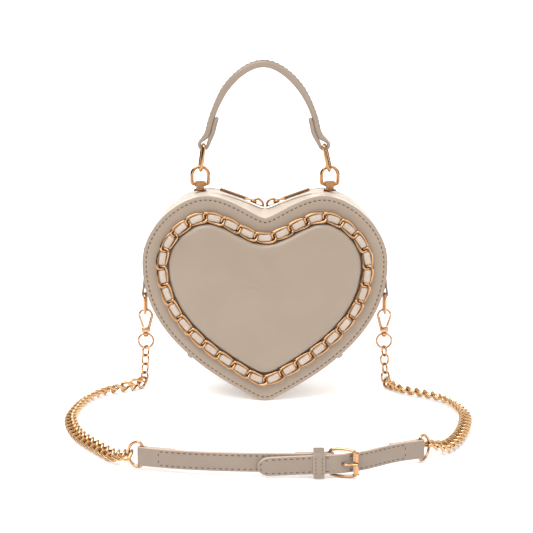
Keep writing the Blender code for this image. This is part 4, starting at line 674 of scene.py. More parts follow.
def half_outline(notch_z, lobe_z):
    """The right half of the heart, from the notch over the lobe and down the flank to the tip flat."""
    notch, lobe, belly, tip = (0.0, notch_z), (LOBE_X, lobe_z), (HALF_WIDTH, BELLY_Z), (TIP_HALF, 0.0)
    flank = (TIP_HALF + FLANK_LOWER * math.cos(FLANK_SLOPE), FLANK_LOWER * math.sin(FLANK_SLOPE))
    points = bezier(notch, (NOTCH_ROUND, notch_z), (LOBE_X - NOTCH_EASE, lobe_z), lobe)
    over = (mix(LOBE_X, HALF_WIDTH, LOBE_TOP_SHARE), lobe_z)
    down = (HALF_WIDTH, mix(BELLY_Z, lobe_z, LOBE_SIDE_SHARE))
    points += bezier(lobe, over, down, belly)
    points += bezier(belly, (HALF_WIDTH, BELLY_Z - FLANK_UPPER), flank, tip)
    points.append(tip)
    return points


def inset_half(points, inset):
    """Moves a half outline inward and trims it at the tip flat and the middle line."""
    slope, tip = (math.cos(FLANK_SLOPE), math.sin(FLANK_SLOPE)), points[-1]
    reach = points + [(tip[0] - slope[0] * k * (inset + TIP_HALF), tip[1] - slope[1] * k * (inset + TIP_HALF))
                      for k in (1, 2)]
    moved = []
    for i, point in enumerate(reach):
        before, after = reach[max(i - 1, 0)], reach[min(i + 1, len(reach) - 1)]
        along = Vector((after[0] - before[0], after[1] - before[1])).normalized()
        if i == 0:
            along = Vector((1.0, 0.0))
        moved.append((point[0] + along.y * inset, point[1] - along.x * inset))
    kept = [moved[0]]
    for before, after in zip(moved, moved[1:]):
        shares = []
        if after[1] < inset:
            shares.append((before[1] - inset) / (before[1] - after[1]))
        if after[0] < TIP_LEAST_HALF and before[0] >= TIP_LEAST_HALF:
            shares.append((before[0] - TIP_LEAST_HALF) / (before[0] - after[0]))
        if shares:
            kept.append(mix_spot(before, after, min(shares)))
            break
        kept.append(after)
    return kept


def resample(points, count):
    """Points spread evenly along a line, its two ends kept."""
    spots = np.array([tuple(p) for p in points], float)
    lengths = np.concatenate([[0.0], np.cumsum(np.linalg.norm(np.diff(spots, axis=0), axis=1))])
    wanted = np.linspace(0.0, lengths[-1], count)
    return [Vector([float(np.interp(w, lengths, spots[:, i])) for i in (0, 1)]) for w in wanted]


def mirrored(points):
    """A half outline and its mirror image as one line from left to right."""
    return [Vector((-p[0], p[1])) for p in reversed(points)] + [Vector(p) for p in points[1:]]


def heart_at(y):
    """Heights of the notch and the lobes at a depth: the heart softens towards the zip."""
    share = clamp((WALL_Y - abs(y)) / (WALL_Y - ZIP_SLOT_HALF))
    return mix(NOTCH_Z, ZIP_NOTCH_Z, share), mix(LOBE_Z, ZIP_LOBE_Z, share)


def zip_run(y, inset, count=150):
    """The outline over both lobes at a depth, from the left zip end to the right one."""
    line = inset_half(half_outline(*heart_at(y)), inset)
    upper = []
    for a, b in zip(line, line[1:]):
        upper.append(a)
        if b[1] < ZIP_END_Z + GAP < a[1]:
            upper.append((mix(a[0], b[0], (a[1] - ZIP_END_Z - GAP) / (a[1] - b[1])), ZIP_END_Z + GAP))
            break
    return mirrored(resample(upper, count // 2 + 1))


def softened(loop, reach, below=None):
    """Rounds a fine closed loop with a moving average, everywhere or below a height only."""
    total, width = len(loop), 2 * reach + 1
    soft = []
    for i, spot in enumerate(loop):
        near = sum((loop[(i + k) % total] for k in range(-reach, reach + 1)), Vector((0.0, 0.0))) / width
        share = 1.0 if below is None else smooth_step((below - spot.y) / below * 2)
        soft.append(spot.lerp(near, share))
    return soft


def heart_loop(y, inset, count=180):
    """The closed outline at a depth, its tip corners rounded, from the tip up the left side."""
    half = inset_half(half_outline(*heart_at(y)), inset)
    loop = mirrored(half + [(0.0, half[-1][1])])
    fine = softened(resample(loop, FINE_LOOP)[:-1], TIP_ROUND_POINTS, TIP_ROUND_HEIGHT)
    return resample(fine + [fine[0]], count + 1)[:-1]


def soft_heart(inset, count):
    """The closed heart that the trim and the pad follow, with a rounded tip, from the notch."""
    loop = mirrored(inset_half(half_outline(NOTCH_Z, LOBE_Z), inset))
    fine = resample(loop + [loop[0]], SOFT_LOOP)[:-1]
    step = (fine[1] - fine[0]).length
    soft = softened(fine, max(1, round(TIP_SOFTEN / step)))
    notch = min(range(len(soft)), key=lambda i: abs(soft[i].x) - soft[i].y)
    soft = soft[notch:] + soft[:notch]
    return resample(soft + [soft[0]], count + 1)[:-1]


def at_depth(spot, y):
    """A point of the outline plane at a depth."""
    return Vector((spot[0], y, spot[1]))


def sew_round(shape, line, y, out, pitch, length, radius, mark):
    """Stitches along an open line in the outline plane; out None lets them look out of the outline."""
    count = round(length_of(line) / pitch)
    spots = resample(line, 2 * count + 1)
    for k in range(count):
        before, here, after = spots[2 * k:2 * k + 3]
        along = (after - before).normalized()
        facing = out or Vector((-along.y, 0, along.x))
        shape.dash(at_depth(here, y), at_depth(along, 0), facing, length, radius, mark)


def crossed(lines):
    """Rings across a band from (line, depth) pairs that run along it."""
    return [[at_depth(line[i], y) for line, y in lines] for i in range(len(lines[0][0]))]


def build_panel(half, side, body):
    """A leather-covered heart panel with a rolled edge and a row of stitches in a groove."""
    face = side * DEPTH / 2
    inset = PANEL_STITCH_INSET / MM
    profile = ((0.35, 3.0), (0.0, 2.6), (0.0, 1.2), (0.12, 0.62), (0.45, 0.22), (0.95, 0.04), (1.7, 0.0),
               (inset - 0.8, 0.0), (inset - 0.35, 0.10), (inset, 0.2), (inset + 0.35, 0.10),
               (inset + 0.8, 0.0), (inset + 3, -0.05))
    shape = Shape()
    shape.skin([[at_depth(p, face - side * deep * MM) for p in heart_loop(face, far * MM)]
                for far, deep in profile])
    line = heart_loop(face, PANEL_STITCH_INSET, 600)
    sew_round(shape, line + line[:1], face - side * 0.12 * MM, BACK * side, PANEL_PITCH, STITCH_LENGTH,
              STITCH_R * PANEL_STITCH_FULLER, 1)
    shape.piece(half + "_panel_leather", body, "taupe thread", seam=60)


def build_gusset(half, side, body):
    """The side wall of one half: a turned edge along the zip and a fine row of stitches."""
    wall, edge, mm = side * WALL_Y, side * ZIP_SLOT_HALF, side * MM
    profile = ((wall, 0.0), (wall - 0.8 * mm, -0.35), (wall - 3 * mm, -0.55), (16 * mm, -0.6), (6 * mm, -0.45),
               (4.6 * mm, -0.2), (4.0 * mm, -0.28), (2.7 * mm, -0.28), (edge + 0.1 * mm, 0.1), (edge, 0.7),
               (edge + 0.1 * mm, 1.6), (edge + 1 * mm, 2.0), (wall, 2.0))
    shape = Shape()
    shape.skin(crossed([(zip_run(y, (inset + 0.6) * MM * 0.92), y) for y, inset in profile]))
    seam = zip_run(side * GUSSET_SEAM_Y, 0.32 * MM, 1400)
    sew_round(shape, seam, side * GUSSET_SEAM_Y, None, FINE_PITCH, FINE_LENGTH, FINE_R, 1)
    shape.piece(half + "_gusset_leather", body, "cream cream_thread", seam=70)


def build_bottom_gusset():
    """The uncut wall round the tip."""
    lines = []
    for inset in (0.0, GUSSET_T):
        low = [p for p in heart_loop(WALL_Y, inset, 720) if p.y <= ZIP_END_Z]
        left = sorted((p for p in low if p.x < 0), key=lambda p: -p.y)
        right = sorted((p for p in low if p.x >= 0), key=lambda p: p.y)
        lines.append(resample(left + right, 61))
    depths = [-WALL_Y + 2 * WALL_Y * k / 10 for k in range(11)]
    rings = []
    for outer, inner in zip(*lines):
        rings.append([at_depth(outer, y) for y in depths] + [at_depth(inner, y) for y in reversed(depths)])
    shape = Shape()
    shape.skin(rings)
    shape.piece("bottom_gusset_leather", "bag", "taupe", seam=50)


def build_zip(half, side, body):
    """One half of the zip: woven tape and a row of coil teeth."""
    near, far = side * 0.5 * MM, side * (ZIP_SLOT_HALF + TAPE_WIDTH)
    top = GUSSET_T + GAP
    shape = Shape()
    profile = ((near, top), (side * 3 * MM, top), (far, top), (far, top + TAPE_T), (near, top + TAPE_T))
    shape.skin(crossed([(zip_run(y, inset), y) for y, inset in profile]))
    shape.piece(half + "_zip_cloth", body, "tape", [half + "_zip_tape"])
    shape = Shape()
    line = zip_run(side * 0.8 * MM, TEETH_SINK, 1500)
    count = int(length_of(line) / TOOTH_PITCH)
    spots = resample(line, 2 * count + 1)
    start = 0 if side < 0 else 1
    for k in range(start, 2 * count, 2):
        along = (spots[k + 1] - spots[k - 1 if k else 0]).normalized()
        ahead, up = at_depth(along, 0), Vector((-along.y, 0, along.x))
        base = at_depth(spots[k], side * 0.15 * MM) - up * TEETH_H * 0.55
        rings = []
        for out, size in ((0.0, 0.7), (0.25, 1.0), (1.05, 1.0), (1.3, 0.75)):
            middle = base + BACK * side * out * MM
            rings.append([middle + (ahead * 0.5 * MM * a + up * TEETH_H * 0.52 * b) * size
                          for a, b in ((-1, -1), (1, -1), (1, 0.6), (0.55, 1), (-0.55, 1), (-1, 0.6))])
        shape.skin(rings)
    shape.piece(half + "_zip_coil", body, "coil", [half + "_zip_teeth"], seam=50)


def build_lining(half, side, body):
    """The cloth tray inside one half, with a rounded floor and a rolled rim."""
    back, rim, mm = side * WALL_Y, side * (ZIP_SLOT_HALF + TAPE_WIDTH + GAP), side * MM
    outer, inner = GUSSET_T + LINING_CLEAR, GUSSET_T + LINING_CLEAR + LINING_T
    profile = ((outer + 2 * MM, back), (outer, back - 1.5 * mm), (outer, rim + 0.5 * mm),
               (outer + 0.2 * MM, rim), (inner, rim), (inner + 0.2 * MM, rim + 0.6 * mm), (inner, back - 5 * mm),
               (inner + 1.4 * MM, back - 2 * mm), (inner + 4 * MM, back - side * LINING_T))
    shape = Shape()
    shape.skin([[at_depth(p, y) for p in heart_loop(y, inset)] for inset, y in profile])
    shape.piece(half + "_lining_cloth", body, "lining", seam=80)


def build_pad():
    """The padded heart: foam-shaped leather, swollen a little by cloth pressure, its rim held."""
    edge = soft_heart(TRIM_INSET + TRIM_HALF_WIDTH + GAP, 112)
    middle = Vector((0.0, sum(p.y for p in edge) / len(edge)))
    seat, rim = -DEPTH / 2 - GAP, PAD_EDGE * PAD_RIM_SHARE
    levels = [(0.0, 0.2), (0.006, 0.38), (0.02, 0.52), (0.045, 0.63), (0.085, 0.72), (0.14, 0.79), (0.21, 0.85),
              (0.3, 0.9), (0.41, 0.94), (0.53, 0.965), (0.66, 0.98), (0.79, 0.99), (0.9, 0.995)]
    rings = [[at_depth(p.lerp(middle, PAD_BACK_DRAW), seat) for p in edge], [at_depth(p, seat) for p in edge]]
    for draw, rise in levels:
        front = seat - rim - (PAD_CROWN - rim) * rise
        rings.append([at_depth(p.lerp(middle, draw), front) for p in edge])
    shape = Shape()
    shape.skin(rings)
    pad = shape.piece("padded_heart_leather", "front", "pad", seam=180)
    bm = bmesh.new()
    bm.from_mesh(pad.data)
    bmesh.ops.poke(bm, faces=[f for f in bm.faces if len(f.verts) > 4])
    bm.to_mesh(pad.data)
    bm.free()
    swell(pad)
    step = pad.modifiers.new("smooth", "SUBSURF")
    step.levels = step.render_levels = 1


def swell(pad):
    """Runs cloth pressure on the pad and applies it, with every point's travel capped."""
    before = np.array([v.co for v in pad.data.vertices])
    group = pad.vertex_groups.new(name="held")
    front = -DEPTH / 2 - GAP - PAD_EDGE * PAD_HELD_SHARE
    group.add([i for i, p in enumerate(before) if p[1] > front], 1.0, "REPLACE")
    step = pad.modifiers.new("cloth", "CLOTH")
    step.settings.use_pressure = True
    step.settings.uniform_pressure_force = PAD_PRESSURE
    step.settings.vertex_group_mass = "held"
    step.settings.effector_weights.gravity = 0.0
    step.settings.tension_stiffness = step.settings.compression_stiffness = PAD_STIFFNESS
    step.settings.bending_stiffness = PAD_BENDING
    for frame in range(1, PAD_FRAMES + 1):
        bpy.context.scene.frame_set(frame)
    shown = pad.evaluated_get(bpy.context.evaluated_depsgraph_get())
    after = np.array([v.co for v in shown.data.vertices])
    pad.modifiers.remove(step)
    bpy.context.scene.frame_set(1)
    pad.vertex_groups.clear()
    move = after - before
    far = np.linalg.norm(move, axis=1, keepdims=True)
    move *= np.minimum(1.0, PAD_SWELL_CAP / np.maximum(far, 1e-9))
    pad.data.vertices.foreach_set("co", (before + move).astype(np.float32).ravel())
    pad.data.update()


def full(share, power=LINK_SQUARE):
    """Draws a share of an ellipse outward, towards a rounded rectangle."""
    return math.copysign(abs(share) ** power, share)


def add_link(shape, centre, along, across, size, wire_r):
    """One smooth chain link; size is its half length, half width and twist."""
    normal = along.cross(across)
    points = []
    for turn in (math.tau * k / 22 for k in range(22)):
        u, v, w = size[0] * full(math.cos(turn)), size[1] * full(math.sin(turn)), size[2] * math.sin(2 * turn)
        points.append(centre + along * u + across * v + normal * w)
    shape.wire(points, wire_r, normal)


def trim_link(path, k, half_length, pitch, plane):
    """The bent centre line of one link of the trim, which follows the curve of the heart."""
    total = len(path)
    reach = round(TRIM_STEPS * half_length / pitch)
    points = []
    for turn in (math.tau * j / TRIM_LINK_POINTS for j in range(TRIM_LINK_POINTS)):
        u, v = full(math.cos(turn), TRIM_SQUARE), full(math.sin(turn), TRIM_SQUARE)
        spot = (TRIM_STEPS * k + u * reach) % total
        low, share = int(spot) % total, spot - int(spot)
        middle = path[low].lerp(path[(low + 1) % total], share)
        ahead = (path[(low + 3) % total] - path[low - 3]).normalized()
        side = Vector((ahead.y, -ahead.x))
        slant = TRIM_SLANT_SHIFT * u
        offset = (TRIM_HALF_WIDTH - TRIM_LINK_R) * v * (1 - TRIM_PINCH * u * u) + slant
        points.append(at_depth(middle + side * offset, plane - TRIM_TURN * math.sin(2 * turn)))
    return points


def build_trim():
    """The gold chain round the pad and the leather lace that puffs up through its links."""
    path = soft_heart(TRIM_INSET, TRIM_STEPS * TRIM_LINKS)
    total = len(path)
    pitch = length_of(path + path[:1]) / TRIM_LINKS
    plane = -DEPTH / 2 - LACE_CLEAR - LACE_T - GAP - TRIM_WIRE_R - TRIM_TWIST
    shape = Shape()
    for k in range(TRIM_LINKS):
        shape.wire(trim_link(path, k, pitch / 2 + TRIM_LAP, pitch, plane), TRIM_LINK_R, BACK)
    shape.piece("trim_chain_links", "front", "gold", seam=80)
    seat, half_step = -DEPTH / 2 - LACE_CLEAR, TRIM_STEPS // 2
    rings = []
    for i in range(0, total, 2):
        puff = smooth_step((PUFF_HALF - abs((i + half_step) % TRIM_STEPS - half_step)) / PUFF_EASE)
        half, rise = mix(LACE_LOW_HALF, LACE_HALF, puff), LACE_RISE * puff
        along = (path[(i + 1) % total] - path[i - 1]).normalized()
        out = Vector((along.y, 0.0, -along.x))
        low, high = seat - rise * 0.35, seat - rise - LACE_T
        rings.append([at_depth(path[i], mix(low, high, height)) + out * half * across for across, height in (
            (1.0, 0.0), (0.98, 0.45), (0.8, 0.8), (0.4, 0.97), (0.0, 1.0), (-0.4, 0.97), (-0.8, 0.8),
            (-0.98, 0.45), (-1.0, 0.0), (0.0, -0.05))])
    shape = Shape()
    shape.skin(rings, joined=True)
    shape.piece("trim_lace_leather", "front", "lace", seam=180)


def zip_line(x):
    """Height of the zip's contour at a distance from the middle."""
    line = half_outline(ZIP_NOTCH_Z, ZIP_LOBE_Z)
    for a, b in zip(line, line[1:]):
        if a[0] <= x <= b[0]:
            return a[1] + (b[1] - a[1]) * (x - a[0]) / (b[0] - a[0])
    return ZIP_LOBE_Z


def slider_frame(hand):
    """Origin, outward direction and normal of a slider that rests beside the notch."""
    start, end = zip_line(SLIDER_FROM_CENTRE), zip_line(SLIDER_FROM_CENTRE + SLIDER_TRAVEL)
    along = Vector((SLIDER_TRAVEL, 0.0, end - start)).normalized()
    normal = Vector((-along.z, 0.0, along.x))
    flip = Vector((hand, 1, 1))
    origin = Vector((SLIDER_FROM_CENTRE, 0.0, start)) + normal * SLIDER_SEAT
    return origin * flip, along * flip, normal * flip


def build_slider(side_name, hand):
    """A zip slider with rounded wings, a raised spine and the wire bridge for its pull."""
    origin, along, normal = slider_frame(hand)
    shape = Shape()
    rings = []
    for s, half, top in ((-1.0, 0.45, 0.5), (-0.93, 0.62, 0.85), (-0.7, 0.92, 1.0), (-0.3, 1.0, 1.0),
                         (0.1, 1.0, 1.0), (0.5, 0.84, 1.0), (0.85, 0.62, 0.95), (0.96, 0.5, 0.75), (1.0, 0.4, 0.5)):
        here = origin + along * (SLIDER_LENGTH / 2 * s)
        w, h = SLIDER_HALF * half, SLIDER_H * top
        half_ring = ((w * 0.96, SLIDER_SOLE), (w, 0.95 * MM), (w * 0.97, h * 0.8), (w * 0.8, h * 0.97),
                     (w * 0.25, h * 1.06))
        ring = [(-w * 0.96, SLIDER_SOLE), *half_ring, *((-a, b) for a, b in half_ring[:0:-1])]
        rings.append([here + BACK * a + normal * b for a, b in ring])
    shape.skin(rings)
    base = origin + normal * (SLIDER_H - BRIDGE_WIRE_R)
    arch = [(a * (1.0 if a > 0 else BRIDGE_STRETCH), b * BRIDGE_RISE / BRIDGE_HALF_SPAN)
            for a, b in arc((0.0, 0.0), BRIDGE_HALF_SPAN, 0.0, math.pi, 18)]
    shape.wire([base + along * a + normal * b for a, b in arch], BRIDGE_WIRE_R * BRIDGE_THICKEN, BACK,
               closed=False)
    shape.piece("zip_slider_body_" + side_name, "slider_" + side_name, "gold", seam=50)
    a, b = BRIDGE_HALF_SPAN * math.cos(PULL_SEAT), BRIDGE_RISE * math.sin(PULL_SEAT)
    build_pull(side_name, hand, base + along * a + normal * b)


def build_pull(side_name, hand, hinge):
    """The bar pull: an eye round the bridge, and a bar with a long channel in each side, with a thin dark wire laid
    in each channel as painted shade.
    """
    along = Vector((hand * math.cos(PULL_SLOPE), 0.0, math.sin(PULL_SLOPE)))
    up = Vector((-hand * math.sin(PULL_SLOPE), 0.0, math.cos(PULL_SLOPE)))
    w, t = PULL_HALF_WIDTH, PULL_T / 2 + PULL_FULLER
    eye, end = PULL_EYE_R, PULL_LENGTH
    stations = ((eye, 0.5, 0.0), (eye + 1.2 * MM, 0.62, 0.0), (eye + 3.5 * MM, 0.85, 0.0),
                (eye + 5 * MM, 1.0, 0.0), (eye + 5.8 * MM, 1.0, 0.0), (eye + 6.4 * MM, 1.0, 1.0),
                (end - 2.2 * MM, 1.0, 1.0), (end - 1.6 * MM, 1.0, 0.0), (end - 0.7 * MM, 0.98, 0.0),
                (end - 0.2 * MM, 0.85, 0.0), (end, 0.6, 0.0))
    rings = []
    for distance, size, sunk in stations:
        here = hinge + along * distance
        slot = w - PULL_SLOT_DEPTH * sunk
        side = [(w, t * 0.75), (w, t * 0.38), (slot, t * 0.28)]
        right = [(a, -b) for a, b in side] + side[::-1]
        ring = [(-w * 0.7, -t), (w * 0.7, -t)] + right + [(w * 0.7, t), (-w * 0.7, t)]
        ring += [(-a, b) for a, b in right[::-1]]
        rings.append([here + BACK * a * size + up * b * size for a, b in ring])
    shape = Shape()
    shape.skin(rings)
    # Painted shade: a thin wire in the dark thread finish lies in each channel, where the channel's shade falls.
    slot = w - PULL_SLOT_DEPTH / 2
    for side in (-slot, slot):
        line = [hinge + along * d + BACK * side for d in (eye + 6.2 * MM, end - 2 * MM)]
        shape.wire(line, PULL_SLOT_SHADE_R, up, 8, False, 1)
    loop = arc((0.0, 0.0), eye, 0.0, math.tau, 22)[:-1]
    shape.wire([hinge + along * a + BACK * b for a, b in loop], PULL_EYE_WIRE_R * EYE_THICKEN, up)
    shape.piece("zip_pull_bar_" + side_name, "pull_" + side_name, "gold thread", seam=40)


def flank_spot(height):
    """The right flank's point at a height and its outward direction."""
    line = half_outline(NOTCH_Z, LOBE_Z)
    for a, b in zip(line[::-1], line[-2::-1]):
        if a[1] <= height <= b[1]:
            along = Vector((a[0] - b[0], a[1] - b[1])).normalized()
            share = (height - a[1]) / (b[1] - a[1])
            return Vector((mix(a[0], b[0], share), 0.0, height)), Vector((-along.y, 0.0, along.x))
    return Vector((HALF_WIDTH, 0.0, height)), ACROSS


def build_end_tab(side_name, hand):
    """The folded leather tab over a zip end, sewn along its sides."""
    spot, out = flank_spot(ZIP_END_Z - END_TAB_HALF - GAP)
    flip = Vector((hand, 1, 1))
    spot, out = spot * flip, out * flip
    along = Vector((-out.z, 0.0, out.x))
    rings = []
    for reach, size in ((0.0, 0.9), (0.05, 1.0), (0.5, 0.99), (0.8, 0.95), (0.93, 0.86), (1.0, 0.66)):
        here = spot + out * (2 * GAP + END_TAB_REACH * reach)
        corners = rounded(END_TAB_HALF * size, END_TAB_DEPTH_HALF * (0.4 + 0.6 * size), END_TAB_HALF / 3)
        rings.append([here + along * u + BACK * v for u, v in corners])
    shape = Shape()
    shape.skin(rings)
    face = along * END_TAB_HALF * hand * 0.98
    for v in (-0.75, 0.75):
        for k in range(2):
            here = spot + out * (2 * GAP + END_TAB_REACH * (0.3 + 0.35 * k)) + BACK * END_TAB_DEPTH_HALF * v
            shape.dash(here + face, out, along * hand, END_TAB_STITCH_LENGTH, END_TAB_STITCH_R, 1)
    shape.piece("zip_end_tab_leather_" + side_name, "bag", "taupe thread", seam=50)


def post_base():
    """Height of the seat of the handle posts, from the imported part."""
    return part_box("handle_post_left")[0].z


def pin_height():
    """Height of the axis of the handle rings."""
    return post_base() + POST_PIN_Z


def rounded_box(shape, centre, half, corner, axes=(ACROSS, BACK, UP), steps=3):
    """A block with rounded edges: a stack of rounded rectangles along its third axis."""
    rings = []
    levels = [(-1, k) for k in range(steps + 1)] + [(1, steps - k) for k in range(steps + 1)]
    for side, k in levels:
        turn = math.pi / 2 * k / steps
        drop, draw = corner * (1 - math.sin(turn)), corner * (1 - math.cos(turn))
        a, b = (half[0] - draw, half[1] - draw) if k else (half[0] - corner, half[1] - corner)
        height = side * (half[2] - drop)
        rings.append([centre + axes[0] * u + axes[1] * v + axes[2] * height
                      for u, v in rounded(a, b, max(corner - draw, corner * 0.15))])
    shape.skin(rings)


def build_post(side_name, hand):
    """The handle post: a rounded flange, a block and the barrel that the ring's pins enter."""
    base = Vector((hand * HANDLE_X, HANDLE_Y, post_base()))
    neck, flange = (POST_H - POST_FLANGE_T) / 2, POST_FLANGE_T / 2
    shape = Shape()
    rounded_box(shape, base + UP * flange, (POST_FLANGE_HALF, POST_FLANGE_HALF, flange), 0.45 * MM)
    rounded_box(shape, base + UP * (POST_FLANGE_T + neck),
                (POST_HALF_X - 0.9 * MM, POST_HALF_Y - 0.3 * MM, neck), 0.5 * MM)
    r, length = POST_H - POST_PIN_Z - 0.05 * MM, 2 * POST_HALF_X
    shape.turned(base + Vector((-POST_HALF_X, 0, POST_PIN_Z)), ACROSS, (
        (0, r * 0.55), (0.02 * MM, r * 0.85), (0.3 * MM, r), (length - 0.3 * MM, r),
        (length - 0.02 * MM, r * 0.85), (length, r * 0.55)))
    for v in (-1, 1):
        screw = base + Vector((0, v * (POST_FLANGE_HALF - 1.0 * MM), POST_FLANGE_T - 0.1 * MM))
        shape.turned(screw, UP, ((0, 0.75 * MM), (0.25 * MM, 0.75 * MM), (0.4 * MM, 0.45 * MM)), 12)
    shape.piece("handle_post_metal_" + side_name, "bag", "gold", seam=45)


def swollen(radius, swell, share):
    """A wire radius that grows by a share of itself, eased in."""
    return radius * (1 + swell * smooth_step(share))


def build_handle_ring(side_name, hand):
    """The U-shaped ring with inturned pins."""
    inner, corner = POST_HALF_X - PIN_LENGTH, RING_CORNER
    right = [(inner, 0.0), (inner + 0.8 * MM, 0.0), (RING_HALF - corner, 0.0)]
    right += arc((RING_HALF - corner, corner), corner, -math.pi / 2, 0.0, 6)[1:]
    right += arc((0.0, RING_RISE - RING_HALF), RING_HALF, 0.0, math.pi / 2, 12)
    flat = right + [(-u, v) for u, v in reversed(right[:-1])]
    radii = [swollen(RING_WIRE_R, RING_SWELL, abs(u) / SWELL_OVER - SWELL_FROM) for u, _ in flat]
    radii[:2] = radii[-2:] = [PIN_R, PIN_R]
    middle = Vector((hand * HANDLE_X, HANDLE_Y, pin_height()))
    shape = Shape()
    shape.wire([middle + at_depth(spot, 0.0) for spot in flat], radii, BACK, 12, False)
    shape.piece("handle_ring_wire_" + side_name, "ring_" + side_name, "gold", seam=70)


def link_ends(hand):
    """Centres of a handle link's lower and upper end wires."""
    drop = RING_WIRE_R + GAP + LINK_WIRE_R
    low = Vector((hand * HANDLE_X, HANDLE_Y, pin_height() + RING_RISE - drop))
    angle = LINK_LEAN_LEFT if hand < 0 else LINK_LEAN_RIGHT
    return low, low + Vector((-hand * math.sin(angle), 0.0, math.cos(angle))) * (2 * LINK_HALF_LENGTH)


def build_handle_link(side_name, hand):
    """The long link between a ring and the handle's folded end."""
    low, high = link_ends(hand)
    along = (high - low).normalized()
    across = Vector((hand * math.sin(LINK_TURN), math.cos(LINK_TURN), 0.0))
    across = (across - along * across.dot(along)).normalized()
    straight, half = LINK_HALF_LENGTH - LINK_CORNER, LINK_HALF_WIDTH - LINK_CORNER
    flat = []
    corners = (straight, -half), (straight, half), (-straight, half), (-straight, -half)
    for quarter, corner in enumerate(corners):
        start = math.pi / 2 * (quarter - 1)
        flat += arc(corner, LINK_CORNER, start, start + math.pi / 2, 6)
    middle = (low + high) / 2
    shape = Shape()
    radii = [swollen(LINK_WIRE_R, LINK_SWELL, (LINK_HALF_LENGTH - abs(u)) / LINK_CORNER) for u, _ in flat]
    shape.wire([middle + along * u + across * v for u, v in flat], radii, along.cross(across), 12)
    shape.piece("handle_link_wire_" + side_name, "handle", "gold", seam=70)


class Route:
    """A smooth line in two coordinates, measured by its length and straight beyond its ends."""

    def __init__(self, points):
        knots = [Vector(p) for p in points]
        knots = [2 * knots[0] - knots[1]] + knots + [2 * knots[-1] - knots[-2]]
        self.spots = []
        for a, b, c, d in zip(knots, knots[1:], knots[2:], knots[3:]):
            for k in range(12):
                t = k / 12
                self.spots.append(0.5 * (2 * b + (c - a) * t + (2 * a - 5 * b + 4 * c - d) * t * t
                                         + (3 * b - a - 3 * c + d) * t ** 3))
        self.spots.append(knots[-2])
        self.lengths = [0.0]
        for a, b in zip(self.spots, self.spots[1:]):
            self.lengths.append(self.lengths[-1] + (b - a).length)
        self.length = self.lengths[-1]

    def at(self, distance):
        """Point, direction and left-hand normal at a distance along the line."""
        at = 0
        while at < len(self.spots) - 2 and self.lengths[at + 1] < distance:
            at += 1
        a, b = self.spots[at], self.spots[at + 1]
        along = (b - a).normalized()
        point = a + along * (distance - self.lengths[at])
        return point, along, Vector((-along.y, along.x))


def fold_points(bar_at, radius, spacing, bulge, back_end, ease, outward):
    """One folded end of a strap in (distance, offset): out past the bar, round it and back."""
    points = []
    for k in range(4):
        share = k / 3
        points.append((bar_at - outward * ease * (1 - share), -bulge * smooth_step(share)))
    for u, v in arc((0.0, radius - bulge), radius, -math.pi / 2, math.pi / 2, 6)[1:-1]:
        points.append((bar_at + outward * u, v))
    for k in range(4):
        share = k / 3
        rise = (spacing - 2 * radius + bulge) * smooth_step(share)
        points.append((bar_at - outward * ease * share, 2 * radius - bulge + rise))
    points.append((back_end, spacing))
    return points


def section(half_t, half_w):
    """A strap's section with rounded edges, in (offset through, offset across)."""
    return rounded(half_t, half_w, min(half_t, half_w) * 0.8)


def ribbon(shape, rows, place):
    """A strap along rows of (u, v, thickness, half width); place turns (point, across) into space."""
    rows = rows_between(rows, 4)
    rings = []
    for i, row in enumerate(rows):
        after, before = rows[min(i + 1, len(rows) - 1)], rows[max(i - 1, 0)]
        along = Vector(after[:2] - before[:2]).normalized()
        normal = Vector((-along.y, along.x))
        spot = Vector(row[:2])
        rings.append([place(spot + normal * n, w) for n, w in section(row[2] / 2, row[3])])
    shape.skin(rings, marks=EDGE_MARKS)


def mapped(route, points, thickness, half_widths):
    """Rows of (u, v, thickness, half width) beside a route, from (distance, offset) pairs."""
    rows = []
    for (distance, offset), thick, half in zip(points, thickness, half_widths):
        spot, _, normal = route.at(distance)
        spot = spot + normal * offset
        rows.append((spot.x, spot.y, thick, half))
    return rows


def handle_fold_radius():
    """Radius of the handle's fold round a link."""
    return LINK_WIRE_R + GAP + HANDLE_LOOP_CLEAR + HANDLE_END_T / 2


def handle_route():
    """The middle line of the handle's outer layer, from the left link to the right one."""
    reach = handle_fold_radius() - HANDLE_BULGE
    base = link_ends(-1)[1].z
    knots = [(x * HANDLE_SPAN, base + z * HANDLE_RISE) for x, z in HANDLE_KNOT_SHARES]
    ends = []
    for hand, knot in ((-1, knots[0]), (1, knots[-1])):
        _, bar = link_ends(hand)
        end = Vector((bar.x, bar.z))
        for _ in range(3):
            outward = (Vector(knot) - end).normalized() * hand
            end = Vector((bar.x, bar.z)) + Vector((outward.y, -outward.x)) * reach
        ends.append(tuple(end))
    return Route([ends[0]] + knots + [ends[1]])


def hugging(points):
    """A fold whose returning layer has more points, so that it follows the outer layer's curve."""
    start, end = points[-2], points[-1]
    run = end[0] - start[0]
    between = [(start[0] + run * k / HUG_STEPS, end[1]) for k in range(1, HUG_STEPS)]
    last = end[0] - run / HUG_STEPS * 0.12
    return points[:-1] + between + [(last, end[1]), end]


def plump(from_bar):
    """How much thicker the handle is towards its top, past the folded ends."""
    return HANDLE_PLUMP * smooth_step((from_bar - HANDLE_FOLD_BACK) / HANDLE_PLUMP_LENGTH)


def handle_half(from_bar):
    """Half the handle's width at a distance from a bar."""
    return mix(HANDLE_LOOP_HALF, HANDLE_HALF, smooth_step((from_bar - HANDLE_EASE / 2) / HANDLE_TAPER))


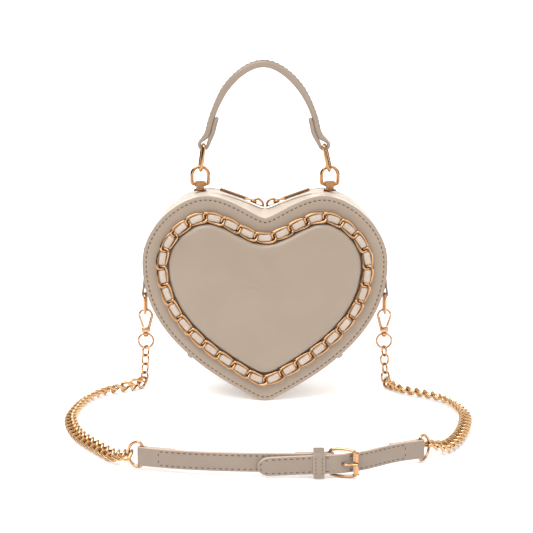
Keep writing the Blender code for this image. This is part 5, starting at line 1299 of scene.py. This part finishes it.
def build_handle():
    """The thick handle, its thin ends folded round the links and sewn back."""
    route = handle_route()
    length, radius = route.length, handle_fold_radius()
    spacing = (HANDLE_T + HANDLE_BACK_T) / 2 - HANDLE_NESTLE
    far = length - HANDLE_FOLD_BACK
    right = hugging(fold_points(length, radius, spacing, HANDLE_BULGE, far, HANDLE_EASE, 1))
    left = hugging(fold_points(0.0, radius, spacing, HANDLE_BULGE, HANDLE_FOLD_BACK, HANDLE_EASE, -1))
    between = [(HANDLE_EASE + (length - 2 * HANDLE_EASE) * k / 24, 0.0) for k in range(1, 24)]
    points = list(reversed(left)) + between + right
    thickness, half_widths = [], []
    for i, (s, _) in enumerate(points):
        from_bar = max(0.0, min(s, length - s))
        from_end = min(i, len(points) - 1 - i)
        thick = HANDLE_BACK_T if from_end < 5 + HUG_STEPS else HANDLE_T + plump(from_bar)
        thick *= (0.45, 0.8, 1.0)[min(from_end, 2)]
        thickness.append(mix(HANDLE_END_T, thick, smooth_step(from_bar / HANDLE_THIN_LENGTH)))
        half_widths.append(handle_half(from_bar))
    rows = mapped(route, [(s, -n) for s, n in points], thickness, half_widths)
    shape = Shape()
    ribbon(shape, rows, lambda spot, w: Vector((spot.x, HANDLE_Y + w, spot.y)))
    for k in range(round((length - 2 * HANDLE_SEAM) / STITCH_PITCH)):
        distance = HANDLE_SEAM + STITCH_PITCH * (k + 0.5)
        spot, along, normal = route.at(distance)
        from_bar = min(distance, length - distance)
        outer = spot + normal * ((HANDLE_T + plump(from_bar)) / 2 - 0.02 * MM)
        for w in (-1, 1):
            here = at_depth(outer, HANDLE_Y + w * (handle_half(from_bar) - HANDLE_STITCH_INSET))
            shape.dash(here, at_depth(along, 0), at_depth(normal, 0), STITCH_LENGTH,
                       STITCH_R * HANDLE_STITCH_FULLER, 2)
    shape.piece("handle_strap_leather", "handle", "strap pad thread", seam=60)


def side_ring_x():
    """Distance of the side rings from the middle."""
    outer = HALF_WIDTH + GAP + SIDE_TAB_T * 1.5 + GAP
    return outer - (SIDE_RING_WIRE_R + GAP + SIDE_TAB_T / 2) + SIDE_TAB_BULGE


def at_side(hand, z):
    """A point in the middle of a side ring's width, at a height."""
    return Vector((hand * side_ring_x(), SIDE_Y, z))


def hook_top():
    """Height of the centre of the hook's top wire."""
    return SIDE_RING_TOP_Z - SIDE_RING_H + SIDE_RING_WIRE_R + GAP + HOOK_WIRE_R


def swivel_top():
    """Height of the centre of the swivel ring's top wire."""
    return hook_top() - HOOK_H - NECK_H - GAP - SWIVEL_WIRE_R


def build_side_tab(side_name, hand):
    """The leather tab folded round the side ring, sewn in a box."""
    outer = HALF_WIDTH + GAP + SIDE_TAB_T * 1.5 + GAP
    radius, spacing = SIDE_RING_WIRE_R + GAP + SIDE_TAB_T / 2, SIDE_TAB_T + GAP
    height = SIDE_TAB_TOP_Z - SIDE_RING_TOP_Z
    points = [(height * k / 8, 0.0) for k in range(5)]
    points += fold_points(height, radius, spacing, SIDE_TAB_BULGE, 0.0, 3 * radius, 1)[:-1]
    points += [(height * (4 - k) / 8, spacing) for k in range(5)]
    rows = []
    for along, offset in points:
        flat = smooth_step((height - TAB_FLAT_FROM - along) / TAB_FLAT_OVER)
        pressed = HALF_WIDTH + GAP + SIDE_TAB_FLAT_T * (1.5 - offset / spacing)
        rows.append((hand * ((outer - offset) * (1 - flat) + pressed * flat), SIDE_TAB_TOP_Z - along,
                     mix(SIDE_TAB_T, SIDE_TAB_FLAT_T, flat), SIDE_TAB_HALF))
    shape = Shape()
    ribbon(shape, rows, lambda spot, w: Vector((spot.x, SIDE_Y + w, spot.y)))
    face = hand * (HALF_WIDTH + GAP + 2 * SIDE_TAB_FLAT_T)
    low, high = SIDE_TAB_TOP_Z - height + TAB_SEAM_START, SIDE_TAB_TOP_Z - 1.5 * MM
    count = round((high - low) / FINE_PITCH)
    seams = [(low + (high - low) * (k + 0.5) / count, w * (SIDE_TAB_HALF - 1.2 * MM), UP)
             for k in range(count) for w in (-1, 1)]
    seams += [(z, w * 2.1 * MM, BACK) for z in (low, high) for w in (-1, 0, 1)]
    for z, w, along in seams:
        shape.dash(Vector((face, SIDE_Y + w, z)), along, ACROSS * hand, FINE_LENGTH, FINE_R, 2)
    shape.piece("side_tab_leather_" + side_name, "bag", "strap pad thread", seam=60)


def build_side_ring(side_name, hand):
    """The round-cornered side ring."""
    half_h = SIDE_RING_H / 2
    flat = rounded(SIDE_RING_HALF, half_h, SIDE_RING_CORNER, 6)
    middle = at_side(hand, SIDE_RING_TOP_Z - half_h)
    reach = max(v for _, v in flat)
    radii = [swollen(SIDE_RING_WIRE_R, SIDE_RING_SWELL, (reach - abs(v)) / SIDE_RING_CORNER) for _, v in flat]
    shape = Shape()
    shape.wire([middle + Vector((0.0, u, v)) for u, v in flat], radii, ACROSS, 12)
    shape.piece("side_ring_wire_" + side_name, "side_" + side_name, "pale_gold", seam=70)


def hook_curve(steps):
    """One side of the hook in two coordinates, from its top to its neck."""
    return arc((0.0, -HOOK_TOP_R), HOOK_TOP_R, math.pi / 2, -HOOK_END_ANGLE, steps) + [(HOOK_NECK_HALF, -HOOK_H)]


def build_clasp(side_name, hand):
    """The snap hook: pear-shaped wire, neck, swivel post, and its sprung gate."""
    top = at_side(hand, hook_top())
    coarse, fine = hook_curve(6), hook_curve(24)
    split = Vector(coarse[round(len(coarse) * (1 - GATE_SHARE))])
    upper = [p for p in fine if p[1] >= split.y]
    lower = [Vector(p) for p in fine if p[1] < split.y]
    line = [(u, v) for u, v in reversed(upper[1:])] + [(-u, v) for u, v in fine]
    points = [top + Vector((hand * u, 0.0, v)) for u, v in line]
    points[-1] = points[-1] - Vector((0, 0, NECK_H / 3))
    radii = [swollen(HOOK_WIRE_R, HOOK_SWELL, -v / SWELL_OVER - SWELL_FROM) for _, v in line]
    shape = Shape()
    shape.wire(points, radii, BACK, 12, False)
    neck = top - UP * HOOK_H
    rings = []
    for drop, x_size, y_size in ((0.0, 0.6, 0.6), (0.05, 0.78, 0.78), (0.2, 0.97, 0.97), (0.4, 1.0, 1.0),
                                 (0.7, 1.0, 1.0), (0.85, 0.9, 0.92), (0.96, 0.74, 0.8), (1.0, 0.6, 0.6)):
        rings.append([neck + Vector((u, v, -NECK_H * drop))
                      for u, v in rounded(NECK_HALF * x_size, NECK_DEPTH_HALF * y_size, NECK_ROUND)])
    shape.skin(rings)
    sunk = NECK_H * 0.8
    rivet = NECK_H + BOSS_H + 2 * GAP - sunk
    shape.turned(neck - UP * sunk, -UP, (
        (0.0, SWIVEL_POST_R), (rivet, SWIVEL_POST_R), (rivet, RIVET_R * 0.94), (rivet + 0.15 * MM, RIVET_R),
        (rivet + RIVET_H * 0.6, RIVET_R * 0.97), (rivet + RIVET_H * 0.9, RIVET_R * 0.8),
        (rivet + RIVET_H, RIVET_R * 0.5)))
    shape.piece("clasp_hook_metal_" + side_name, "clasp_" + side_name, "pale_gold", seam=50)
    gate = Shape()
    first = split + (lower[0] - split).normalized() * GATE_CLEAR * GATE_START_SHARE
    line = [first] + lower[1:-1] + [Vector((HOOK_NECK_HALF, -HOOK_H + GAP + HOOK_WIRE_R / 2))]
    gate.wire([top + Vector((hand * p.x, 0.0, p.y)) for p in line], HOOK_WIRE_R, BACK, 12, False)
    pivot = top + Vector((hand * HOOK_NECK_HALF, 0.0, -HOOK_H + HOOK_WIRE_R + GAP))
    gate.turned(pivot - BACK * (GATE_PIVOT / 2), BACK, (
        (0, 0.8 * MM), (0.15 * MM, 1.0 * MM), (GATE_PIVOT - 0.15 * MM, 1.0 * MM), (GATE_PIVOT, 0.8 * MM)), 16)
    gate.piece("clasp_gate_metal_" + side_name, "gate_" + side_name, "pale_gold", seam=50)


def build_swivel_ring(side_name, hand):
    """The round ring with its pierced boss."""
    middle = at_side(hand, swivel_top() - SWIVEL_R)
    loop = [middle + at_depth(spot, 0.0) for spot in arc((0, 0), SWIVEL_R, 0.0, math.tau, 40)[:-1]]
    shape = Shape()
    shape.wire(loop, SWIVEL_WIRE_R * SWIVEL_THICKEN, BACK, 12)
    start = at_side(hand, swivel_top() + SWIVEL_WIRE_R)
    bore, r, h, edge = SWIVEL_POST_R + GAP, BOSS_R, BOSS_H, 0.2 * MM
    profile = ((bore, 0.0), (r - edge, 0.0), (r, edge), (r, h - edge), (r - edge, h), (bore, h))
    turns = [math.tau * k / 20 for k in range(20)]
    shape.skin([[start + Vector((math.cos(t) * a, math.sin(t) * a, -b)) for a, b in profile] for t in turns],
               joined=True)
    shape.piece("swivel_ring_metal_" + side_name, "strap", "pale_gold", seam=50)


def strap_height():
    """Height of the middle of the leather strap."""
    return FRAME_HALF + FRAME_BOW + FRAME_WIRE_R + FLOOR_CLEAR


def plan(shares):
    """Plan positions from shares of the strap loop's size."""
    return [(x * LOOP_SIDE, y * LOOP_REACH) for x, y in shares]


def landing(hand):
    """Plan position where the small links meet the curb chain."""
    return Vector((hand * (side_ring_x() + DROP_LEAN_X), SIDE_Y - DROP_LEAN_Y))


def chain_knots(hand):
    """Plan points that the curb chain passes."""
    return plan(LEFT_CHAIN_SHARES if hand < 0 else RIGHT_CHAIN_SHARES)


def lying(direction):
    """A plan direction in space."""
    return Vector((direction.x, direction.y, 0.0))


def start_direction(hand):
    """Plan direction in which the curb chain leaves the small links."""
    return (Vector(chain_knots(hand)[0]) - landing(hand)).normalized()


def build_link_chain(side_name, hand):
    """The small links that hang from the swivel ring."""
    inside = SWIVEL_WIRE_R + GAP + SMALL_WIRE_R
    high = at_side(hand, swivel_top() - 2 * SWIVEL_R + inside)
    foot = landing(hand)
    low = Vector((foot.x, foot.y, CURB_HALF_WIDTH + CURB_WIRE_R + FLOOR_CLEAR))
    drop = high - low
    pitch = (drop.length - 2 * SMALL_WIRE_R + SMALL_GRIP) / LINK4_COUNT
    half_length = SMALL_WIRE_R + (pitch - SMALL_GRIP) / 2
    down = -drop.normalized()
    heading = start_direction(hand)
    facing, sideways = lying(heading), Vector((-heading.y, heading.x, 0.0))
    shape = Shape()
    for k in range(LINK4_COUNT):
        wanted = sideways if (LINK4_COUNT - 1 - k) % 2 == 0 else facing
        across = (wanted - down * wanted.dot(down)).normalized()
        add_link(shape, high + down * (half_length + pitch * k), down, across,
                 (half_length, SMALL_HALF_WIDTH, 0.0), SMALL_WIRE_R)
    shape.piece("link_chain_metal_" + side_name, "strap", "gold", seam=80)


def strap_fold_radius(wire_r):
    """Radius of the strap's fold round a bar."""
    return wire_r + GAP + STRAP_FOLD_T / 2


def heel_spot():
    """Plan position of the buckle's heel bar."""
    return Vector((HEEL_SHARE * LOOP_SIDE, -LOOP_REACH + strap_fold_radius(FRAME_WIRE_R)))


def strap_route(hand):
    """Plan line of the buckle strap (left) or the tail strap (right), always from left to right."""
    heel = heel_spot()
    if hand < 0:
        straight = [(0.0, -LOOP_REACH * STRAP_BOW), (heel.x * 0.5, -LOOP_REACH), (heel.x, -LOOP_REACH)]
        return Route(plan(STRAP_LEFT_SHARES) + straight)
    front = -LOOP_REACH - STRAP_T - STRAP_LAYER_GAP
    straight = [(TIP_SHARE * LOOP_SIDE, front), (heel.x * 0.5, front), (heel.x + PRONG_CROSS * 0.4, front),
                (heel.x + PRONG_CROSS, front + STRAP_T * 0.4)]
    return Route(straight + plan(STRAP_RIGHT_SHARES))


def ring_bar(hand):
    """Plan position of the strap ring's bar inside the leather fold."""
    route = strap_route(hand)
    spot, _, normal = route.at(0.0 if hand < 0 else route.length)
    return spot + normal * strap_fold_radius(STRAP_RING_WIRE_R)


def ring_direction(hand):
    """Plan direction in which a strap ring points."""
    turn = LEFT_RING_TURN if hand < 0 else RIGHT_RING_TURN
    return Vector((math.cos(turn), math.sin(turn)))


def curb_roll(distance, length):
    """How far a curb link is tipped from standing on edge, and its share of the rise to the strap."""
    lift = smooth_step(1 - (length - distance) / CURB_RISE_LENGTH)
    return CURB_ROLL * smooth_step(distance / CURB_ROLL_LENGTH) + (CURB_END_ROLL - CURB_ROLL) * lift, lift


def build_curb_chain(side_name, hand):
    """The heavy curb chain on the floor."""
    start = landing(hand) - start_direction(hand) * (SMALL_WIRE_R + GAP + CURB_WIRE_R)
    hold = STRAP_RING_DEPTH - STRAP_RING_WIRE_R - 2 * GAP - CURB_WIRE_R
    end, lead = (ring_bar(hand) + ring_direction(hand) * reach for reach in (hold, hold + CURB_LEAD))
    route = Route([tuple(start)] + chain_knots(hand) + [tuple(lead), tuple(end)])
    free = route.length - 2 * CURB_WIRE_R + CURB_GRIP
    count = round(free / CURB_PITCH)
    pitch = free / count
    half_length = CURB_WIRE_R + (pitch - CURB_GRIP) / 2
    shape = Shape()
    for k in range(count):
        distance = half_length + pitch * k
        spots, heights = [], []
        for at in (distance - half_length / 2, distance, distance + half_length / 2):
            spots.append(route.at(at)[0])
            roll, lift = curb_roll(at, route.length)
            resting = (CURB_HALF_WIDTH * math.cos(roll) + CURB_FULL_TWIST * math.sin(roll) + CURB_FULL_WIRE_R
                       + FLOOR_CLEAR)
            heights.append(mix(resting, strap_height(), lift))
        along = Vector((spots[2].x - spots[0].x, spots[2].y - spots[0].y, heights[2] - heights[0])).normalized()
        roll, _ = curb_roll(distance, route.length)
        level = UP.cross(along).normalized()
        upright = along.cross(level)
        across = upright * math.cos(roll) - level * (hand * math.sin(roll))
        twist = CURB_FULL_TWIST * min(1.0, (k + 1) * CURB_TWIST_STEP)
        add_link(shape, Vector((spots[1].x, spots[1].y, heights[1])), along, across,
                 (half_length, CURB_HALF_WIDTH, twist), CURB_FULL_WIRE_R)
    shape.piece("curb_chain_metal_" + side_name, "strap", "chain_gold", seam=80)


def build_strap_ring(side_name, hand):
    """The D-ring in the strap's fold."""
    bar, ahead = ring_bar(hand), ring_direction(hand)
    corner, bow = STRAP_RING_DEPTH / 4, STRAP_RING_DEPTH
    flat = [(0.0, -STRAP_RING_HALF + corner), (0.0, 0.0), (0.0, STRAP_RING_HALF - corner)]
    flat += arc((corner, STRAP_RING_HALF - corner), corner, math.pi, math.pi / 2, 5)[1:]
    for k in range(1, 20):
        turn = math.pi / 2 - math.pi * k / 20
        flat.append((corner + (bow - corner) * math.cos(turn), STRAP_RING_HALF * math.sin(turn)))
    flat += arc((corner, -STRAP_RING_HALF + corner), corner, -math.pi / 2, -math.pi, 5)[:-1]
    centre = in_plan(bar, STRAP_RING_LIFT if hand < 0 else 0.0)
    across = lying(ahead)
    shape = Shape()
    shape.wire([centre + across * u + UP * v for u, v in flat], STRAP_RING_WIRE_R * STRAP_RING_THICKEN,
               across.cross(UP), 12)
    shape.piece("strap_ring_wire_" + side_name, "strap", "pale_gold", seam=70)


def in_plan(spot, w):
    """A point of the leather strap from its plan position and height above its middle."""
    return Vector((spot.x, spot.y, strap_height() + w))


def in_tail(spot, w):
    """A point of the tail strap, which sags towards its free tip."""
    crossing = heel_spot().x + PRONG_CROSS / 2
    share = clamp((crossing - spot.x) / (crossing - TIP_SHARE * LOOP_SIDE))
    return in_plan(spot, w - TAIL_SAG * share)


def skived(points, length, folds):
    """Thickness of a strap at each (distance, offset): thinner round the bars."""
    thickness = []
    for s, _ in points:
        from_bar = max(0.0, min(s if end == 0.0 else length - s for end in folds))
        thickness.append(mix(STRAP_FOLD_T, STRAP_T, smooth_step(from_bar / STRAP_FOLD_EASE)))
    return thickness


def sew_strap(shape, route, place, start, end, face):
    """Two rows of stitches along a strap's face, one near each edge."""
    count, reach = round((end - start) / STITCH_PITCH), STRAP_HALF - STRAP_STITCH_INSET
    for k in range(count):
        distance = start + (end - start) * (k + 0.5) / count
        spot, _, normal = route.at(distance)
        ahead, _, _ = route.at(distance + MM)
        for w in (-reach, reach):
            centre = place(spot + normal * face, w)
            direction = (place(ahead + normal * face, w) - centre).normalized()
            shape.dash(centre, direction, lying(normal) * math.copysign(1, face), STITCH_LENGTH, STITCH_R, 0)


def sew_across(shape, route, place, distance, face):
    """One short row of stitches across a strap's face."""
    spot, _, normal = route.at(distance)
    reach = STRAP_HALF - STRAP_STITCH_INSET
    count = max(2, round(2 * reach / STITCH_PITCH))
    for k in range(count):
        here = place(spot + normal * face, -reach + 2 * reach * (k + 0.5) / count)
        shape.dash(here, UP, lying(normal) * math.copysign(1, face), STITCH_LENGTH * CROSS_STITCH_SHARE, STITCH_R, 0)


def even_points(first, last):
    """Points (distance, 0) along a strap between its ends' own points, the first one kept."""
    steps = max(2, round((last - first) / STRAP_STEP))
    return [(first + (last - first) * k / steps, 0.0) for k in range(steps)]


def build_strap_left():
    """The buckle strap, folded round the left ring and the buckle's heel bar."""
    route = strap_route(-1)
    left_r, right_r = strap_fold_radius(STRAP_RING_WIRE_R), strap_fold_radius(FRAME_WIRE_R)
    spacing, far = STRAP_T + STRAP_LAYER_GAP, route.length - STRAP_FOLD_BACK
    left = fold_points(0.0, left_r, spacing, 0.0, STRAP_FOLD_BACK, STRAP_FOLD_EASE, -1)
    right = fold_points(route.length, right_r, spacing, 0.0, far, STRAP_FOLD_EASE, 1)
    points = list(reversed(left)) + even_points(left[0][0], right[0][0])[1:] + right
    shape = Shape()
    thickness = skived(points, route.length, (0.0, 1.0))
    ribbon(shape, mapped(route, points, thickness, [STRAP_HALF] * len(points)), in_plan)
    face, back = -STRAP_T / 2, spacing + STRAP_T / 2
    sewing = Shape()
    sew_strap(sewing, route, in_plan, STRAP_SEAM, route.length - STRAP_SEAM_END, face)
    sew_across(sewing, route, in_plan, STRAP_SEAM, face)
    sew_strap(sewing, route, in_plan, STRAP_SEAM, STRAP_FOLD_BACK, back)
    sew_across(sewing, route, in_plan, STRAP_SEAM, back)
    sew_across(sewing, route, in_plan, STRAP_FOLD_BACK - CROSS_SEAM_IN, back)
    sewing.piece("strap_left_stitches", "strap", "thread", ())
    made = shape.piece("strap_left_leather", "strap", "strap edge", seam=60)
    heel, reach = heel_spot(), right_r + STRAP_T
    cut = Shape()
    slot = Vector((heel.x + reach / 4, heel.y, strap_height()))
    rounded_box(cut, slot, (reach, reach + STRAP_T, 1.5 * MM), 0.4 * MM)
    carve(made, cut)


def carve(target, cut):
    """Cuts a shape out of a piece and applies the cut."""
    mesh = bpy.data.meshes.new("cut")
    mesh.from_pydata(cut.points, [], cut.faces)
    tool = bpy.data.objects.new("cut", mesh)
    bpy.context.scene.collection.objects.link(tool)
    step = target.modifiers.new("cut", "BOOLEAN")
    step.operation, step.solver, step.object = "DIFFERENCE", "EXACT", tool
    step.use_self = True
    shown = target.evaluated_get(bpy.context.evaluated_depsgraph_get())
    made = bpy.data.meshes.new_from_object(shown)
    target.modifiers.remove(step)
    target.data = made
    bpy.data.objects.remove(tool)


def prong_line():
    """The prong's wire in plan."""
    heel = heel_spot()
    eye = FRAME_WIRE_R + GAP + PRONG_R
    turns = [math.radians(d) for d in (20.0, 65.0, 110.0, 155.0, 200.0, 240.0, 270.0)]
    line = [heel + Vector((eye * math.cos(a), eye * math.sin(a))) for a in turns]
    cross = heel + Vector((PRONG_CROSS - PRONG_RUN / 2, -eye))
    front = -LOOP_REACH - 1.5 * STRAP_T - STRAP_LAYER_GAP - GAP - PRONG_R
    over = Vector((heel.x + PRONG_CROSS + PRONG_RUN / 2, front))
    ahead = Vector((math.cos(FRAME_SWING), -math.sin(FRAME_SWING)))
    away = Vector((ahead.y, -ahead.x))
    bar = heel + ahead * FRAME_LENGTH
    tip = bar + away * (BAR_T / 2 + GAP + PRONG_R)
    end = tip + ahead * (BAR_HALF_LENGTH * PRONG_TIP_SHARE)
    return line + [cross, over, tip - ahead * BAR_HALF_LENGTH, end]


def build_strap_right():
    """The tail strap with its rounded tip, sewn round its edge."""
    route = strap_route(1)
    spacing, far = STRAP_T + STRAP_LAYER_GAP, route.length - STRAP_FOLD_BACK
    radius = strap_fold_radius(STRAP_RING_WIRE_R)
    right = fold_points(route.length, radius, spacing, 0.0, far, STRAP_FOLD_EASE, 1)
    tip_shares = (0.02, 0.06, 0.12, 0.2, 0.3, 0.42, 0.56, 0.72, 0.88)
    points = [(STRAP_TIP * share, 0.0) for share in tip_shares] + even_points(STRAP_TIP, right[0][0]) + right
    half_widths = [STRAP_HALF * math.sqrt(1 - (1 - share) ** 2) for share in tip_shares]
    half_widths += [STRAP_HALF] * (len(points) - len(half_widths))
    shape = Shape()
    ribbon(shape, mapped(route, points, skived(points, route.length, (1.0,)), half_widths), in_tail)
    face, back = -STRAP_T / 2, spacing + STRAP_T / 2
    last_seam = route.length - STRAP_SEAM
    sewing = Shape()
    sew_strap(sewing, route, in_tail, STRAP_TIP, TAIL_SEAM_STOP, face)
    sew_strap(sewing, route, in_tail, TAIL_SEAM_AGAIN, last_seam, face)
    sew_across(sewing, route, in_tail, last_seam, face)
    sew_strap(sewing, route, in_tail, far, last_seam, back)
    sew_across(sewing, route, in_tail, far + CROSS_SEAM_IN, back)
    reach = STRAP_HALF - STRAP_STITCH_INSET
    for turn in (math.pi / 2 + math.pi * (k + 0.5) / 4 for k in range(4)):
        distance = STRAP_TIP + (STRAP_TIP - STRAP_STITCH_INSET) * math.cos(turn)
        spot, _, normal = route.at(distance)
        centre = in_tail(spot + normal * face, reach * math.sin(turn))
        direction = Vector((-math.sin(turn) * STRAP_TIP, 0, math.cos(turn) * reach)).normalized()
        sewing.dash(centre, direction, -BACK, STITCH_LENGTH, STITCH_R, 0)
    made = shape.piece("strap_right_leather", "strap", "strap edge", seam=60)
    sewing.piece("strap_right_stitches", "strap", "thread", ())
    cross, over = prong_line()[-4:-2]
    lean = (over - cross).normalized()
    cut = Shape()
    axes = (lying(lean), Vector((-lean.y, lean.x, 0.0)), UP)
    middle = in_plan((cross + over) / 2, 0.0)
    rounded_box(cut, middle, (2 * STRAP_T, HOLE_HALF + GAP, HOLE_HALF), 0.5 * MM, axes)
    carve(made, cut)


def build_keeper():
    """The leather keeper, sewn near both edges."""
    front = -LOOP_REACH - 1.5 * STRAP_T - STRAP_LAYER_GAP
    back = -LOOP_REACH + 1.5 * STRAP_T + STRAP_LAYER_GAP
    middle = Vector((KEEPER_SHARE * LOOP_SIDE, (front + back) / 2, strap_height() - GAP))
    a, b = (back - front) / 2 + GAP + KEEPER_T / 2, STRAP_HALF + GAP + KEEPER_TILT + KEEPER_T / 2
    loop = rounded(a, b, KEEPER_ROUND, 5)
    rings = []
    for i, (u, v) in enumerate(loop):
        before, after = loop[i - 1], loop[(i + 1) % len(loop)]
        along = Vector((after[0] - before[0], after[1] - before[1])).normalized()
        ring = []
        for n, w in section(KEEPER_T / 2, KEEPER_LENGTH / 2):
            y, z = u + along.y * n, v - along.x * n
            ring.append(middle + Vector((w, y, z + KEEPER_TILT * y / a)))
        rings.append(ring)
    shape = Shape()
    shape.skin(rings, joined=True, marks=EDGE_MARKS)
    face, reach, side = middle.y - a - KEEPER_T / 2, b - 2.2 * MM, KEEPER_LENGTH / 2 - 1.7 * MM
    rows = round(2 * reach / FINE_PITCH)
    for w in (-side, side):
        for k in range(rows):
            z = middle.z - KEEPER_TILT - reach + 2 * reach * (k + 0.5) / rows
            shape.dash(Vector((middle.x + w, face, z)), UP, -BACK, FINE_LENGTH, KEEPER_STITCH_R, 2)
    shape.piece("strap_keeper_leather", "keeper", "strap edge thread", seam=60)


def build_buckle():
    """The buckle frame with its satin plate, and the prong."""
    centre = in_plan(heel_spot(), 0.0)
    ahead = Vector((math.cos(FRAME_SWING), -math.sin(FRAME_SWING), 0.0))
    corner, half, length = FRAME_CORNER, FRAME_HALF, FRAME_LENGTH
    upper = [(length * 0.3, half + FRAME_BOW * 0.7), (length / 2, half + FRAME_BOW),
             (length * 0.7, half + FRAME_BOW * 0.7)]
    flat = [(0.0, -half + corner), (0.0, 0.0), (0.0, half - corner)]
    flat += arc((corner, half - corner), corner, math.pi, math.pi / 2, 6)[1:] + upper
    flat += arc((length - corner, half - corner), corner, math.pi / 2, 0.0, 6)
    flat += arc((length - corner, -half + corner), corner, 0.0, -math.pi / 2, 6)
    flat += [(u, -v) for u, v in reversed(upper)]
    flat += arc((corner, -half + corner), corner, -math.pi / 2, -math.pi, 6)[:-1]
    normal = ahead.cross(UP)
    shape = Shape()
    shape.wire([centre + ahead * u + UP * v for u, v in flat], FRAME_WIRE_R, normal, 12)
    rounded_box(shape, centre + ahead * length, (BAR_HALF_LENGTH, BAR_T / 2, half - corner / 2), 0.55 * MM,
                (ahead, normal, UP))
    shape.piece("buckle_frame_metal", "buckle", "pale_gold", seam=50)
    points = rows_between([tuple(in_plan(p, 0.0)) for p in prong_line()], 4)
    radii = []
    for i in range(len(points)):
        share = i / (len(points) - 1)
        slender = 1.15 - 0.4 * smooth_step((share - PRONG_TAPER_FROM) / 0.28)
        radii.append(PRONG_R * slender * (1.0 if share > PRONG_EYE_SHARE else PRONG_EYE_SLIM))
    shape = Shape()
    shape.wire(points, radii, UP, 12, False)
    shape.piece("buckle_prong_metal", "prong", "pale_gold", seam=50)


def build_sky(scene):
    """A surround for the metal to mirror: dark at the horizon, with a bright band high above it."""
    world = bpy.data.worlds.new("studio")
    scene.world = world
    world.use_nodes = True
    tree = world.node_tree
    back = tree.nodes["Background"]
    preset(back, {"Strength": SKY_STRENGTH})
    place, split = add_node(tree, "TexCoord"), add_node(tree, "SeparateXYZ")
    height = add_node(tree, "MapRange", {"From Min": -1.0})
    ramp = add_node(tree, "ValToRGB")
    while len(ramp.color_ramp.elements) < len(SKY_STOPS):
        ramp.color_ramp.elements.new(0.5)
    for element, (position, value) in zip(ramp.color_ramp.elements, SKY_STOPS):
        element.position = position
        element.color = (value, value, value, 1.0)
    join(tree, (place, "Generated", split, "Vector"), (split, "Z", height, "Value"),
         (height, "Result", ramp, "Fac"), (ramp, "Color", back, "Color"))


def build_floor(scene):
    """The white paper floor and its sweep, darker towards the viewer."""
    material, tree, shader = new_finish("floor_paper")
    place, split = add_node(tree, "TexCoord"), add_node(tree, "SeparateXYZ")
    depth = add_node(tree, "MapRange", FLOOR_FADE, interpolation_type="SMOOTHSTEP")
    paper = add_node(tree, "TexNoise", Scale=400.0, Detail=2.0)
    grain = add_node(tree, "Bump", Strength=0.05, Distance=0.02 * MM)
    join(tree, (place, "Object", split, "Vector"), (split, "Y", depth, "Value"),
         (depth, "Result", shader, "Base Color"), (depth, "Result", shader, "Emission Color"),
         (place, "Object", paper, "Vector"), (paper, "Fac", grain, "Height"),
         (grain, "Normal", shader, "Normal"))
    preset(shader, {"Roughness": 0.9, "Specular IOR Level": 0.1, "Emission Strength": FLOOR_GLOW})
    mesh = bpy.data.meshes.new("floor_sweep")
    bend = [math.radians(15 * k) for k in range(1, 7)]
    profile = [(-FLOOR_REACH, 0.0), (SWEEP_FROM, 0.0)]
    profile += [(SWEEP_FROM + math.sin(a), 1.0 - math.cos(a)) for a in bend] + [(SWEEP_FROM + 1.0, SWEEP_TOP)]
    points = [(x, y, z) for y, z in profile for x in (-FLOOR_REACH, FLOOR_REACH)]
    faces = [(2 * i, 2 * i + 1, 2 * i + 3, 2 * i + 2) for i in range(len(profile) - 1)]
    mesh.from_pydata(points, [], faces)
    mesh.materials.append(material)
    mesh.shade_smooth()
    floor = bpy.data.objects.new("floor_sweep", mesh)
    scene.collection.objects.link(floor)


def build_studio():
    """Floor, soft lights, and the camera at the photograph's place."""
    scene = bpy.context.scene
    build_sky(scene)
    build_floor(scene)
    for name, spot, spread, strength in LIGHTS:
        data = bpy.data.lights.new(name, "SUN")
        data.energy, data.angle = strength, math.radians(spread)
        lamp = bpy.data.objects.new(name, data)
        scene.collection.objects.link(lamp)
        lamp.location = spot
        lamp.rotation_euler = (-Vector(spot)).to_track_quat("-Z", "Y").to_euler()
    camera = bpy.data.cameras.new("camera")
    camera.sensor_width = SENSOR
    camera.lens = FOCAL_PIXELS / PHOTO_PIXELS * SENSOR
    camera.shift_x = CAMERA_SHIFT
    camera.clip_start, camera.clip_end = 0.05, 30.0
    holder = bpy.data.objects.new("camera", camera)
    holder.location = CAMERA_SPOT
    holder.rotation_euler = (math.pi / 2 - CAMERA_DOWN, 0.0, 0.0)
    scene.collection.objects.link(holder)
    scene.camera = holder
    scene.view_settings.view_transform = "Standard"


def main():
    """Loads the frame, dresses it and finishes."""
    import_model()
    LOOKS.update(finishes())
    build_studio()
    for half, side, body in (("front", -1, "front"), ("back", 1, "bag")):
        for build in (build_panel, build_gusset, build_zip, build_lining):
            build(half, side, body)
    build_bottom_gusset()
    build_pad()
    build_trim()
    for side_name, hand in SIDES:
        for build in (build_slider, build_end_tab, build_post, build_handle_ring, build_handle_link,
                      build_side_tab, build_side_ring, build_clasp, build_swivel_ring, build_link_chain,
                      build_curb_chain, build_strap_ring):
            build(side_name, hand)
    for build in (build_handle, build_strap_left, build_strap_right, build_keeper, build_buckle):
        build()


main()
